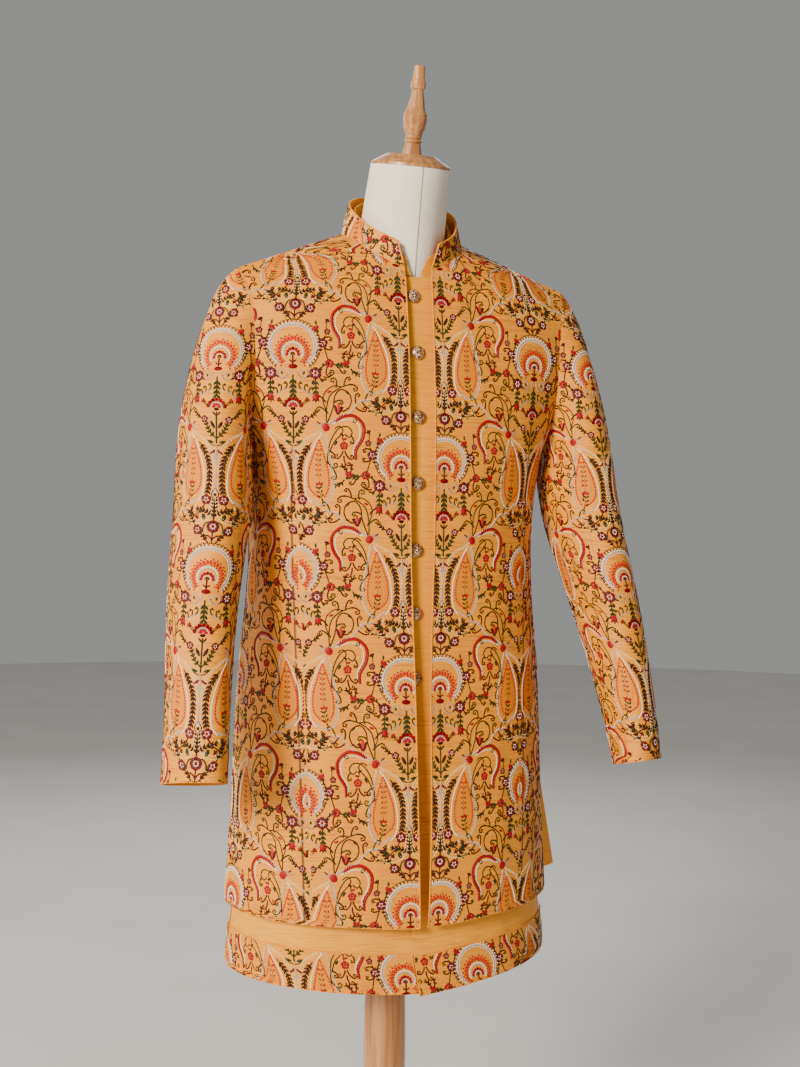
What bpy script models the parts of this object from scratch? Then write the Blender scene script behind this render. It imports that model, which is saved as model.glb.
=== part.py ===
"""A two-layer sherwani coat on a limbless dress form. Metres, +Z up, the wearer faces -Y and the wearer's left is +X.

The open outer coat and the plain inner coat are thin walls of cloth. Each wall is worked out row by row from the
garment's own sizes: body rows run from the front edge or the neckline round to the side seam or the armhole, and
sleeve rows run round the arm. Cloth edges that are sewn together are a seam gap apart.
"""

import math

import bmesh
import bpy
import numpy as np
from mathutils import Matrix, Vector

# Cloth
SEAM_GAP = 0.0003
COAT_CLOTH = 0.0020
COAT_COLLAR_CLOTH = 0.0022
INNER_CLOTH = 0.0012
INNER_COLLAR_CLOTH = 0.0016
BORDER_CLOTH = 0.0010

# Grid of the body walls
SKIRT_ROWS = 10
CHEST_ROWS = 5
NECK_ROWS = 7
HALF_COLUMNS = 8
ARM_ROWS = CHEST_ROWS + NECK_ROWS
CHEST_SHARE = 0.74

SEAM_CUT = Vector((1.0, 2.0, 3.0))
SIDES = ((1, "left"), (-1, "right"))
NECK_MIDDLE = np.array([0.0, -0.03, 1.49])

SEAM_REACH = 0.0009
SAME_WAY = 0.97
MITRE_LIMIT = 0.7
SMOOTH_ANGLE = math.radians(35)

# Vents, folds and openings
COAT_VENT_TOP = 0.865
INNER_SLIT_TOP = 0.830
VENT_CURVE = 1.4
RIGHT_FOLD_SHIFT = 0.006
INNER_UNDERLAP = 0.014
LAP_DEPTH = 0.0035
LAP_RISE = 0.0009

# Border band on the inner coat's hem
BORDER_HEIGHT = 0.049

# Buttons
BUTTON_RADIUS = 0.0090
BUTTON_SHANK_RADIUS = 0.0030
BUTTON_SHANK = 0.0014
BUTTON_RIM = 0.0012
BUTTON_DOME = 0.0027
BUTTON_BEVEL = 0.0006

# Collars
COAT_COLLAR_ROWS = 3
INNER_COLLAR_ROWS = 2

# Sleeve seams, as steps round the arm from the underarm through the front
ARM_STEPS = 2 * ARM_ROWS
FRONT_SEAM_STEP = 4
BACK_SEAM_STEP = 20
CAP_ROWS = 5
LOWER_ROWS = 9
# How the sleeve leaves the armhole: out from the underarm and from the head, and along the arm at each
CAP_OUT = (0.004, 0.028)
CAP_UP = 0.004
CAP_RISE = (0.008, 0.082)
CENTRE_STEP = 0.01

# Stand
NECK_RADIUS = 0.0515
NECK_TOP = Vector((0.0, -0.0640, 1.5555))
NECK_LEAN = math.radians(15.0)
# How far each ring of the neck has come from the neckline to the neck's top
NECK_SHARES = (0.35, 0.55, 1.0)
NECK_ZONE = {"half_width": 0.06, "foot": 1.4}
FORM_FOOT = 0.780
POST_TOP = 0.7797
ROUND_STEPS = {"button": 12, "finial": 12, "post": 16, "neck_cap": 24, "base": 32}


def table(columns, rows):
    """Rows of numbers with named columns, as one array for each name."""
    return dict(zip(columns.split(), np.array(rows, float).T))


COAT = {
    "sections": table(
        "height half_width front back side squareness edge",
        [
            (0.600, 0.2170, -0.1500, 0.1440, 0.0000, 2.30, 0.0050),
            (0.700, 0.2110, -0.1500, 0.1410, 0.0000, 2.30, 0.0075),
            (0.780, 0.2065, -0.1460, 0.1360, 0.0000, 2.35, 0.0090),
            (0.900, 0.2010, -0.1350, 0.1260, 0.0000, 2.40, 0.0100),
            (1.000, 0.1915, -0.1295, 0.1030, 0.0000, 2.40, 0.0130),
            (1.080, 0.1875, -0.1275, 0.0900, 0.0000, 2.40, 0.0155),
            (1.150, 0.1930, -0.1255, 0.0980, -0.0040, 2.40, 0.0160),
            (1.190, 0.1985, -0.1248, 0.1030, -0.0100, 2.40, 0.0163),
            (1.210, 0.2055, -0.1240, 0.1050, -0.0100, 2.40, 0.0165),
            (1.235, 0.2185, -0.1223, 0.1060, -0.0100, 2.40, 0.0165),
            (1.290, 0.2400, -0.1180, 0.1050, -0.0100, 2.40, 0.0165),
            (1.360, 0.2500, -0.1090, 0.0930, -0.0100, 2.40, 0.0170),
            (1.420, 0.2580, -0.0980, 0.0720, -0.0100, 2.40, 0.0175),
            (1.460, 0.2620, -0.0900, 0.0530, -0.0100, 2.40, 0.0175),
            (1.500, 0.2680, -0.0800, 0.0340, -0.0100, 2.40, 0.0175),
        ],
    ),
    "hem": {"front": 0.614, "side": 0.625, "back": 0.618},
    "neckline_front": table(
        "along x y z",
        [
            (0.00, 0.0175, -0.0980, 1.4200),
            (0.25, 0.0380, -0.0925, 1.4290),
            (0.50, 0.0590, -0.0780, 1.4440),
            (0.75, 0.0740, -0.0560, 1.4600),
            (1.00, 0.0810, -0.0290, 1.4710),
        ],
    ),
    "neckline_back": table(
        "along x y z",
        [
            (0.00, 0.0000, 0.0370, 1.4920),
            (0.25, 0.0260, 0.0340, 1.4910),
            (0.50, 0.0500, 0.0230, 1.4880),
            (0.75, 0.0710, 0.0020, 1.4810),
            (1.00, 0.0810, -0.0290, 1.4710),
        ],
    ),
    "armhole_front": table(
        "along x y z",
        [
            (0.00, 0.1985, -0.0100, 1.1900),
            (0.12, 0.1990, -0.0360, 1.1990),
            (0.30, 0.2005, -0.0660, 1.2350),
            (0.50, 0.2010, -0.0810, 1.2850),
            (0.72, 0.2025, -0.0830, 1.3400),
            (0.88, 0.2080, -0.0740, 1.3820),
            (1.00, 0.2170, -0.0520, 1.4140),
        ],
    ),
    "armhole_back": table(
        "along x y z",
        [
            (0.00, 0.1985, -0.0100, 1.1900),
            (0.14, 0.1990, 0.0200, 1.2010),
            (0.32, 0.2000, 0.0500, 1.2400),
            (0.52, 0.2010, 0.0620, 1.2900),
            (0.74, 0.2030, 0.0500, 1.3450),
            (0.90, 0.2090, 0.0060, 1.3920),
            (1.00, 0.2170, -0.0520, 1.4140),
        ],
    ),
    # How far each panel's side edge has swung at the hem below the vent's top
    "vent_top": COAT_VENT_TOP,
    "border": None,
    "swing": {
        ("front", 1): (-0.0005, -0.0200),
        ("front", -1): (0.0010, -0.0030),
        ("back", 1): (0.0520, 0.0440),
        ("back", -1): (-0.0010, 0.0050),
    },
    # Soft vertical folds that grow down the skirt: place across the panel from its centre, half width, top, depth
    "folds": table(
        "place half_width top depth",
        [
            (0.105, 0.050, 1.020, 0.0035),
            (0.178, 0.040, 1.060, 0.0040),
        ],
    ),
}

INNER = {
    "sections": table(
        "height half_width front back side squareness edge",
        [
            (0.510, 0.2165, -0.1350, 0.1180, 0.0000, 2.20, 0.0030),
            (0.620, 0.2075, -0.1345, 0.1160, 0.0000, 2.20, -0.0140),
            (0.720, 0.1960, -0.1320, 0.1130, 0.0000, 2.30, -0.0160),
            (0.830, 0.1880, -0.1260, 0.1060, 0.0000, 2.40, -0.0160),
            (0.930, 0.1840, -0.1210, 0.0950, 0.0000, 2.40, -0.0160),
            (1.000, 0.1790, -0.1195, 0.0850, 0.0000, 2.40, -0.0160),
            (1.080, 0.1755, -0.1175, 0.0760, 0.0000, 2.40, -0.0160),
            (1.150, 0.1800, -0.1155, 0.0830, -0.0040, 2.40, -0.0160),
            (1.180, 0.1840, -0.1148, 0.0870, -0.0080, 2.40, -0.0160),
            (1.195, 0.1885, -0.1144, 0.0885, -0.0080, 2.40, -0.0160),
            (1.230, 0.2010, -0.1125, 0.0905, -0.0090, 2.40, -0.0160),
            (1.270, 0.2150, -0.1100, 0.0910, -0.0100, 2.40, -0.0160),
            (1.360, 0.2280, -0.1010, 0.0790, -0.0100, 2.40, -0.0160),
            (1.409, 0.2330, -0.0930, 0.0600, -0.0100, 2.40, -0.0160),
            (1.500, 0.2420, -0.0780, 0.0220, -0.0100, 2.40, -0.0160),
        ],
    ),
    "hem": {"front": 0.527, "side": 0.546, "back": 0.532},
    "neckline_front": table(
        "along x y z",
        [
            (0.00, 0.0000, -0.0930, 1.4090),
            (0.25, 0.0300, -0.0885, 1.4170),
            (0.50, 0.0540, -0.0745, 1.4370),
            (0.75, 0.0710, -0.0540, 1.4570),
            (1.00, 0.0785, -0.0286, 1.4689),
        ],
    ),
    "neckline_back": table(
        "along x y z",
        [
            (0.00, 0.0000, 0.0300, 1.4865),
            (0.25, 0.0250, 0.0275, 1.4860),
            (0.50, 0.0480, 0.0175, 1.4840),
            (0.75, 0.0680, -0.0010, 1.4780),
            (1.00, 0.0785, -0.0286, 1.4689),
        ],
    ),
    "armhole_front": table(
        "along x y z",
        [
            (0.00, 0.1840, -0.0080, 1.1800),
            (0.12, 0.1840, -0.0340, 1.1900),
            (0.30, 0.1840, -0.0600, 1.2280),
            (0.50, 0.1840, -0.0730, 1.2850),
            (0.72, 0.1845, -0.0740, 1.3450),
            (0.88, 0.1870, -0.0640, 1.3920),
            (1.00, 0.1900, -0.0474, 1.4222),
        ],
    ),
    "armhole_back": table(
        "along x y z",
        [
            (0.00, 0.1840, -0.0080, 1.1800),
            (0.14, 0.1840, 0.0200, 1.1920),
            (0.32, 0.1840, 0.0460, 1.2350),
            (0.52, 0.1840, 0.0570, 1.2900),
            (0.74, 0.1850, 0.0440, 1.3500),
            (0.90, 0.1870, 0.0050, 1.4000),
            (1.00, 0.1900, -0.0474, 1.4222),
        ],
    ),
    "vent_top": INNER_SLIT_TOP,
    "border": BORDER_HEIGHT,
    "swing": {
        ("front", 1): (0.0000, -0.0390),
        ("front", -1): (0.0000, -0.0120),
        ("back", 1): (0.0000, 0.0300),
        ("back", -1): (-0.0020, 0.0080),
    },
    "folds": None,
}

FORM = {
    "sections": table(
        "height half_width front back side squareness edge",
        [
            (0.700, 0.1500, -0.0950, 0.0800, 0.0000, 2.20, 0.0000),
            (0.780, 0.1640, -0.1060, 0.0920, 0.0000, 2.25, 0.0000),
            (0.860, 0.1720, -0.1120, 0.0930, 0.0000, 2.30, 0.0000),
            (0.930, 0.1730, -0.1110, 0.0850, 0.0000, 2.40, 0.0000),
            (1.000, 0.1680, -0.1090, 0.0740, 0.0000, 2.40, 0.0000),
            (1.080, 0.1640, -0.1070, 0.0650, 0.0000, 2.40, 0.0000),
            (1.150, 0.1680, -0.1055, 0.0710, -0.0040, 2.40, 0.0000),
            (1.168, 0.1720, -0.1050, 0.0730, -0.0080, 2.40, 0.0000),
            (1.185, 0.1755, -0.1045, 0.0760, -0.0080, 2.40, 0.0000),
            (1.225, 0.1850, -0.1025, 0.0790, -0.0090, 2.40, 0.0000),
            (1.270, 0.1950, -0.0990, 0.0790, -0.0100, 2.40, 0.0000),
            (1.360, 0.2070, -0.0910, 0.0660, -0.0100, 2.40, 0.0000),
            (1.405, 0.2120, -0.0850, 0.0480, -0.0100, 2.40, 0.0000),
            (1.500, 0.2220, -0.0680, 0.0060, -0.0100, 2.40, 0.0000),
        ],
    ),
    "hem": {"front": FORM_FOOT, "side": FORM_FOOT, "back": FORM_FOOT},
    "neckline_front": table(
        "along x y z",
        [
            (0.00, 0.0000, -0.0850, 1.4050),
            (0.25, 0.0215, -0.0795, 1.4130),
            (0.50, 0.0395, -0.0660, 1.4340),
            (0.75, 0.0520, -0.0490, 1.4610),
            (1.00, 0.0560, -0.0248, 1.4764),
        ],
    ),
    "neckline_back": table(
        "along x y z",
        [
            (0.00, 0.0000, 0.0180, 1.4760),
            (0.25, 0.0210, 0.0150, 1.4770),
            (0.50, 0.0395, 0.0050, 1.4785),
            (0.75, 0.0515, -0.0120, 1.4785),
            (1.00, 0.0560, -0.0248, 1.4764),
        ],
    ),
    "armhole_front": table(
        "along x y z",
        [
            (0.00, 0.1720, -0.0080, 1.1680),
            (0.12, 0.1720, -0.0300, 1.1800),
            (0.30, 0.1720, -0.0520, 1.2250),
            (0.50, 0.1720, -0.0630, 1.2850),
            (0.72, 0.1730, -0.0630, 1.3450),
            (0.88, 0.1750, -0.0550, 1.3930),
            (1.00, 0.1780, -0.0454, 1.4246),
        ],
    ),
    "armhole_back": table(
        "along x y z",
        [
            (0.00, 0.1720, -0.0080, 1.1680),
            (0.14, 0.1720, 0.0180, 1.1800),
            (0.32, 0.1720, 0.0380, 1.2300),
            (0.52, 0.1720, 0.0460, 1.2900),
            (0.74, 0.1730, 0.0330, 1.3520),
            (0.90, 0.1750, 0.0000, 1.4020),
            (1.00, 0.1780, -0.0454, 1.4246),
        ],
    ),
    "vent_top": 0.0,
    "border": None,
    "swing": None,
    "folds": None,
}

# The left sleeve's centre line from the biceps to the cuff: half depth is along the arm's front and back, half width
# across it, and turn is how far the sleeve's front has turned towards the body
SLEEVE = table(
    "height x y half_depth half_width turn",
    [
        (1.170, 0.2440, -0.0480, 0.0700, 0.0465, 0.0),
        (1.130, 0.2450, -0.0570, 0.0690, 0.0470, 0.0),
        (1.090, 0.2510, -0.0690, 0.0660, 0.0450, 0.0),
        (1.040, 0.2590, -0.0850, 0.0610, 0.0425, 2.0),
        (0.990, 0.2660, -0.1020, 0.0570, 0.0400, 4.0),
        (0.940, 0.2710, -0.1200, 0.0545, 0.0370, 8.0),
        (0.880, 0.2760, -0.1400, 0.0525, 0.0335, 14.0),
        (0.804, 0.2820, -0.1580, 0.0513, 0.0305, 22.0),
    ],
)

# Top edges of the two stand collars, from the front end round to the back
COAT_COLLAR_TOP = table(
    "along x y z",
    [
        (0.00, 0.0275, -0.0985, 1.4530),
        (0.12, 0.0430, -0.0900, 1.4620),
        (0.30, 0.0610, -0.0690, 1.4790),
        (0.50, 0.0710, -0.0340, 1.5050),
        (0.72, 0.0590, -0.0010, 1.5250),
        (0.88, 0.0290, 0.0190, 1.5360),
        (1.00, 0.0000, 0.0250, 1.5390),
    ],
)
INNER_COLLAR_TOP = table(
    "along x y z",
    [
        (0.00, 0.0090, -0.0935, 1.4340),
        (0.12, 0.0270, -0.0890, 1.4440),
        (0.30, 0.0490, -0.0700, 1.4650),
        (0.50, 0.0620, -0.0330, 1.4960),
        (0.72, 0.0530, -0.0040, 1.5170),
        (0.88, 0.0260, 0.0125, 1.5290),
        (1.00, 0.0000, 0.0175, 1.5320),
    ],
)
INNER_COLLAR_ENDS = {1: 0.0045, -1: -0.0075}
COLLAR_END_RISE = 0.0036

# Buttons down the inner coat's front: height and how far from the centre line
BUTTONS = table(
    "height x",
    [
        (1.3880, -0.0060),
        (1.3170, -0.0020),
        (1.2360, -0.0020),
        (1.1520, -0.0035),
        (1.0690, -0.0055),
        (0.9915, -0.0060),
        (0.9120, -0.0060),
    ],
)

# Turned wood: distance along the axis and radius
NECK_CAP = [(0.0003, 0.0515), (0.0035, 0.0507), (0.0085, 0.0430), (0.0147, 0.0318)]
FINIAL = [
    (0.0150, 0.0127), (0.0205, 0.0117), (0.0261, 0.0105), (0.0290, 0.0100), (0.0310, 0.0112), (0.0330, 0.0112),
    (0.0346, 0.0099), (0.0362, 0.0107), (0.0385, 0.0103), (0.0440, 0.0126), (0.0492, 0.0142), (0.0560, 0.0152),
    (0.0618, 0.0154), (0.0628, 0.0147), (0.0650, 0.0150), (0.0673, 0.0140), (0.0733, 0.0113), (0.0834, 0.0088),
    (0.0914, 0.0074), (0.0937, 0.0076), (0.0950, 0.0091), (0.1000, 0.0100), (0.1045, 0.0096), (0.1078, 0.0076),
    (0.1150, 0.0072), (0.1218, 0.0070), (0.1226, 0.0063),
]
POST = [
    (0.0403, 0.0330), (0.0560, 0.0330), (0.0640, 0.0240), (0.0720, 0.0240), (0.1000, 0.0310), (0.1600, 0.0330),
    (0.2600, 0.0250), (0.2720, 0.0290), (0.2840, 0.0250), (0.3000, 0.0260), (0.4000, 0.0290),
    (0.4850, 0.0275), (0.5000, 0.0265), (0.5110, 0.0200), (0.5400, 0.0195), (0.6600, 0.0195), (POST_TOP, 0.0195),
]
BASE = [(0.0, 0.1750), (0.0060, 0.1800), (0.0200, 0.1800), (0.0270, 0.1700), (0.0330, 0.0600), (0.0400, 0.0480)]


def value_at(columns, name, where, key="height"):
    """A column's value at a height, on a smooth curve through the table's rows."""
    knots, values = columns[key], columns[name]
    slopes = np.gradient(values, knots)
    order = 1 if knots[0] < knots[-1] else -1
    i = int(np.clip(np.searchsorted(order * knots, order * where) - 1, 0, len(knots) - 2))
    span = knots[i + 1] - knots[i]
    t = np.clip((where - knots[i]) / span, 0.0, 1.0)
    rise = (1 + 2 * t) * (1 - t) ** 2 * values[i] + t * t * (3 - 2 * t) * values[i + 1]
    return rise + t * (1 - t) * ((1 - t) * slopes[i] - t * slopes[i + 1]) * span


def point_at(columns, along):
    return np.array([value_at(columns, axis, along, "along") for axis in "xyz"])


def signed_power(value, power):
    return np.sign(value) * np.abs(value) ** power


def surface_depth(layer, face, x, height):
    """How far forward or back a layer's plan outline lies at a place across and a height."""
    half_width, side, middle, squareness = (
        value_at(layer["sections"], name, height) for name in ("half_width", "side", face, "squareness")
    )
    depth = (1 - min(abs(x) / half_width, 1.0) ** squareness) ** (1 / squareness)
    return side + (middle - side) * depth


def arc_row(layer, face, start, end, count, straight):
    """Points from start to end that follow the layer's plan outline, or a straight seam as straight nears one."""
    half_width, squareness = (value_at(layer["sections"], name, end[2]) for name in ("half_width", "squareness"))
    half_width = max(half_width, end[0])
    first, last = (math.acos(np.clip(signed_power(p[0] / half_width, squareness / 2), -1, 1)) for p in (start, end))
    x = half_width * signed_power(np.cos(np.linspace(first, last, count)), 2 / squareness)
    share = (x - start[0]) / (end[0] - start[0])
    row = start + np.outer(share, end - start)
    outline = np.array([surface_depth(layer, face, p[0], p[2]) for p in row])
    # What the two ends lack is made up close to each end
    outline += (start[1] - outline[0]) * (1 - share) ** 3 + (end[1] - outline[-1]) * share**3
    row[:, 1] = outline * (1 - straight) + row[:, 1] * straight
    return row


def fold_depth(layer, row, side):
    """How far the soft folds push one row's points inwards."""
    folds = layer["folds"]
    push = np.zeros(len(row))
    if folds is None:
        return push
    reach = np.abs(row[:, 0])
    for place, half_width, top, depth in zip(*(folds[k] for k in ("place", "half_width", "top", "depth"))):
        shift = place + (RIGHT_FOLD_SHIFT if side < 0 else 0.0)
        across = np.clip(1 - ((reach - shift) / half_width) ** 2, 0, 1) ** 2
        down = np.clip((top - row[:, 2]) / (top - layer["hem"]["side"]), 0, 1)
        push += depth * across * down
    return push * (1 - np.linspace(0, 1, len(row)) ** 4)


def arm_share(row):
    """How far along the armhole a row ends: the rows below the neckline take the larger share."""
    return np.interp(row, (0, CHEST_ROWS, ARM_ROWS), (0, CHEST_SHARE, 1))


def body_grid(layer, face, side, edge=None, sunk=0.0):
    """Outer points of one quarter of a body layer: rows go up, columns go from the centre to the side."""
    sections, hem = layer["sections"], layer["hem"]
    armpit = point_at(layer["armhole_" + face], 0.0)
    neck = point_at(layer["neckline_" + face], 0.0)
    outward = -1 if face == "front" else 1
    climbs = np.linspace(0, 1, SKIRT_ROWS + 1)
    if layer["border"]:
        climbs[1] = layer["border"] / (armpit[2] - hem[face])
    rows = []
    for i in range(SKIRT_ROWS + ARM_ROWS + 1):
        past_neck = max(0.0, (i - SKIRT_ROWS - CHEST_ROWS) / NECK_ROWS)
        if i < SKIRT_ROWS:
            z_centre = hem[face] + (armpit[2] - hem[face]) * climbs[i]
            z_side = hem["side"] + (armpit[2] - hem["side"]) * climbs[i]
            end = np.array([value_at(sections, "half_width", z_side), value_at(sections, "side", z_side), z_side])
            if layer["swing"] and z_side < layer["vent_top"]:
                down = (layer["vent_top"] - z_side) / (layer["vent_top"] - hem["side"])
                out, away = np.array(layer["swing"][(face, side)]) * down**VENT_CURVE
                squareness = value_at(sections, "squareness", z_side)
                depth = abs(away / (value_at(sections, face, z_side) - end[1]))
                end[0] = end[0] * (1 - depth**squareness) ** (1 / squareness) + out
                end[1] += away
        else:
            past_arm = min(1.0, (i - SKIRT_ROWS) / CHEST_ROWS)
            end = point_at(layer["armhole_" + face], arm_share(i - SKIRT_ROWS))
            z_centre = armpit[2] + (neck[2] - armpit[2]) * past_arm
        if past_neck == 0.0:
            x = value_at(sections, "edge", z_centre) if edge is None else edge
            start = np.array([x if face == "front" else 0.0, value_at(sections, face, z_centre), z_centre])
            if i == SKIRT_ROWS + CHEST_ROWS:
                start[1] = neck[1]
            start[1] -= outward * sunk
        else:
            start = point_at(layer["neckline_" + face], past_neck)
        row = arc_row(layer, face, start, end, HALF_COLUMNS + 1, past_neck)
        row[:, 1] -= outward * fold_depth(layer, row, side)
        # The side seam and the shoulder seam each leave half a seam gap
        row[-1, 1] += outward * SEAM_GAP / 2
        if past_neck == 1.0:
            row[:-1, 1] += outward * SEAM_GAP / 2
        rows.append(row)
    return np.array(rows) * np.array([side, 1, 1])


def normals_of(grid):
    """Unit normals of a grid of points."""
    across = np.gradient(grid, axis=1, edge_order=2)
    up = np.gradient(grid, axis=0, edge_order=2)
    normals = np.cross(across, up)
    normals /= np.maximum(np.linalg.norm(normals, axis=2, keepdims=True), 1e-9)
    return normals


def panel(name, grids, cloth, material, middle=None):
    """One cut piece of one or two grids, the columns in the order that makes the outer face look outwards."""
    sheets = []
    for grid in grids:
        centre = grid * np.array([0, 0, 1]) if middle is None else middle
        if np.sum(normals_of(grid) * (grid - centre)) < 0:
            grid = grid[:, ::-1]
        normals = normals_of(grid)
        if len(grids) == 2:
            normals[:, :, 0][on_fold(grid)] = 0.0
            normals /= np.linalg.norm(normals, axis=2, keepdims=True)
        sheets.append([grid, normals])
    return {"name": name, "sheets": sheets, "cloth": cloth, "material": material}


def on_fold(grid):
    """Which points lie on the centre line that two halves of one piece share."""
    return np.abs(grid[..., 0]) < 1e-6


def rim_of(grid):
    """Grid places round the edge, in order."""
    rows, columns = grid.shape[:2]
    rim = [(0, j) for j in range(columns)]
    rim += [(i, columns - 1) for i in range(1, rows)]
    rim += [(rows - 1, j) for j in range(columns - 2, -1, -1)]
    rim += [(i, 0) for i in range(rows - 2, 0, -1)]
    return rim


def sew(panels):
    """Gives edges that meet at a seam one shared direction, so that their walls end side by side in a mitre."""
    places = [(sheet, at) for p in panels for sheet in p["sheets"] for at in rim_of(sheet[0])]
    points = np.array([grid[at] for (grid, normals), at in places])
    faces = np.array([normals[at] for (grid, normals), at in places])
    for n, ((grid, normals), at) in enumerate(places):
        near = np.linalg.norm(points - points[n], axis=1) < SEAM_REACH
        # Each direction counts once, however many edges share it
        ways = []
        for face in faces[near]:
            if all(face.dot(way) < SAME_WAY for way in ways):
                ways.append(face)
        shared = np.mean(ways, axis=0)
        normals[at] = shared / max(np.linalg.norm(shared), MITRE_LIMIT) ** 2


def wall(p):
    """Turns a panel's points into one closed wall of cloth."""
    bm = bmesh.new()
    for grid, normals in p["sheets"]:
        inner_grid = grid - normals * p["cloth"]
        rows, columns = grid.shape[:2]
        outer = [[bm.verts.new(grid[i, j]) for j in range(columns)] for i in range(rows)]
        inner = [[bm.verts.new(inner_grid[i, j]) for j in range(columns)] for i in range(rows)]
        for i in range(rows - 1):
            for j in range(columns - 1):
                # Both faces are cut along the same diagonal, so that stacked layers keep their gap
                for cell in (((0, 0), (0, 1), (1, 1)), ((0, 0), (1, 1), (1, 0))):
                    bm.faces.new([outer[i + a][j + b] for a, b in cell])
                    bm.faces.new([inner[i + a][j + b] for a, b in reversed(cell)])
        shared = on_fold(grid) & (len(p["sheets"]) == 2)
        rim = rim_of(grid)
        for a, b in zip(rim, rim[1:] + rim[:1]):
            if shared[a] and shared[b]:
                continue
            out_a, out_b, in_a, in_b = outer[a[0]][a[1]], outer[b[0]][b[1]], inner[a[0]][a[1]], inner[b[0]][b[1]]
            # The cut across an edge depends on its place alone, so both sides of a seam are cut alike
            if out_a.co.dot(SEAM_CUT) > out_b.co.dot(SEAM_CUT):
                halves = ((out_a, in_a, in_b), (out_a, in_b, out_b))
            else:
                halves = ((out_a, in_a, out_b), (in_a, in_b, out_b))
            for half in halves:
                bm.faces.new(half)
    bmesh.ops.remove_doubles(bm, verts=bm.verts, dist=1e-6)
    return finish_mesh(p["name"], bm, p["material"])


def finish_mesh(name, bm, material):
    mesh = bpy.data.meshes.new(name)
    bm.to_mesh(mesh)
    bm.free()
    mesh.materials.append(material)
    mesh.shade_smooth()
    mesh.set_sharp_from_angle(angle=SMOOTH_ANGLE)
    made = bpy.data.objects.new(name, mesh)
    bpy.context.scene.collection.objects.link(made)
    return made


def turned(name, profile, material, steps, place=Matrix.Identity(4)):
    """A solid turned round Z from a list of heights and radii, then put in place."""
    bm = bmesh.new()
    axis_top = bm.verts.new((0, 0, profile[-1][0]))
    axis_foot = bm.verts.new((0, 0, profile[0][0]))
    line = [bm.verts.new((radius, 0, height)) for height, radius in profile]
    line = [axis_foot, *line, axis_top]
    edges = [bm.edges.new(pair) for pair in zip(line, line[1:])]
    bmesh.ops.spin(
        bm, geom=line + edges, cent=(0, 0, 0), axis=(0, 0, 1), angle=math.tau, steps=steps, use_merge=True
    )
    bmesh.ops.remove_doubles(bm, verts=bm.verts, dist=1e-6)
    bmesh.ops.recalc_face_normals(bm, faces=bm.faces)
    bmesh.ops.transform(bm, matrix=place, verts=bm.verts)
    return finish_mesh(name, bm, material)


def neckline_points(layer):
    """The neckline from the front end on the right round the back to the front end on the left."""
    front = [point_at(layer["neckline_front"], k / NECK_ROWS) for k in range(NECK_ROWS + 1)]
    back = [point_at(layer["neckline_back"], k / NECK_ROWS) for k in range(NECK_ROWS)]
    half = front + back[::-1]
    mirrored = [p * np.array([-1, 1, 1]) for p in half]
    return np.array(mirrored + half[-2::-1])


def collar_grid(layer, top, rows, ends=None):
    """Outer points of a stand collar: rows go up from the neckline, columns run from the right end to the left end."""
    foot = neckline_points(layer)
    if ends:
        # The ends stop short of the lapped fronts' corners and clear their top edges
        foot[0, 0], foot[-1, 0] = ends[-1], ends[1]
        foot[[0, -1], 2] += COLLAR_END_RISE
    count = len(foot)
    steps = np.linspace(0, 2, count)
    tops = np.array([point_at(top, s if s <= 1 else 2 - s) * np.array([-1 if s <= 1 else 1, 1, 1]) for s in steps])
    if ends:
        tops[0, 0] += ends[-1]
        tops[-1, 0] += ends[1]
    climb = tops - foot
    climb /= np.linalg.norm(climb, axis=1, keepdims=True)
    foot = foot + climb * SEAM_GAP
    return np.array([foot + (tops - foot) * t for t in np.linspace(0, 1, rows + 1)])


def sleeve_frame(height):
    """Centre, front direction, outward direction and half sizes of the left sleeve at a height."""
    centre = np.array([value_at(SLEEVE, "x", height), value_at(SLEEVE, "y", height), height])
    low = max(height - CENTRE_STEP, SLEEVE["height"][-1])
    high = min(height + CENTRE_STEP, SLEEVE["height"][0])
    rise = np.array([value_at(SLEEVE, a, high) - value_at(SLEEVE, a, low) for a in ("x", "y")] + [high - low])
    rise /= np.linalg.norm(rise)
    turn = math.radians(value_at(SLEEVE, "turn", height))
    ahead = np.array([-math.sin(turn), -math.cos(turn), 0.0])
    ahead -= rise * ahead.dot(rise)
    ahead /= np.linalg.norm(ahead)
    out = np.cross(ahead, rise)
    out *= np.sign(out[0])
    return centre, rise, ahead, out, value_at(SLEEVE, "half_depth", height), value_at(SLEEVE, "half_width", height)


def arm_ring(height):
    """Points round the left sleeve, from the underarm through the front, the shoulder side and the back."""
    centre, rise, ahead, out, half_depth, half_width = sleeve_frame(height)
    turn = np.linspace(-math.pi / 2, 1.5 * math.pi, ARM_STEPS + 1)
    return centre + np.outer(np.cos(turn) * half_depth, ahead) + np.outer(np.sin(turn) * half_width, out)


def armhole_ring():
    front = [point_at(COAT["armhole_front"], arm_share(k)) for k in range(ARM_ROWS + 1)]
    back = [point_at(COAT["armhole_back"], arm_share(k)) for k in range(ARM_ROWS)]
    return np.array(front + back[::-1]) + np.array([SEAM_GAP, 0, 0])


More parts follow.
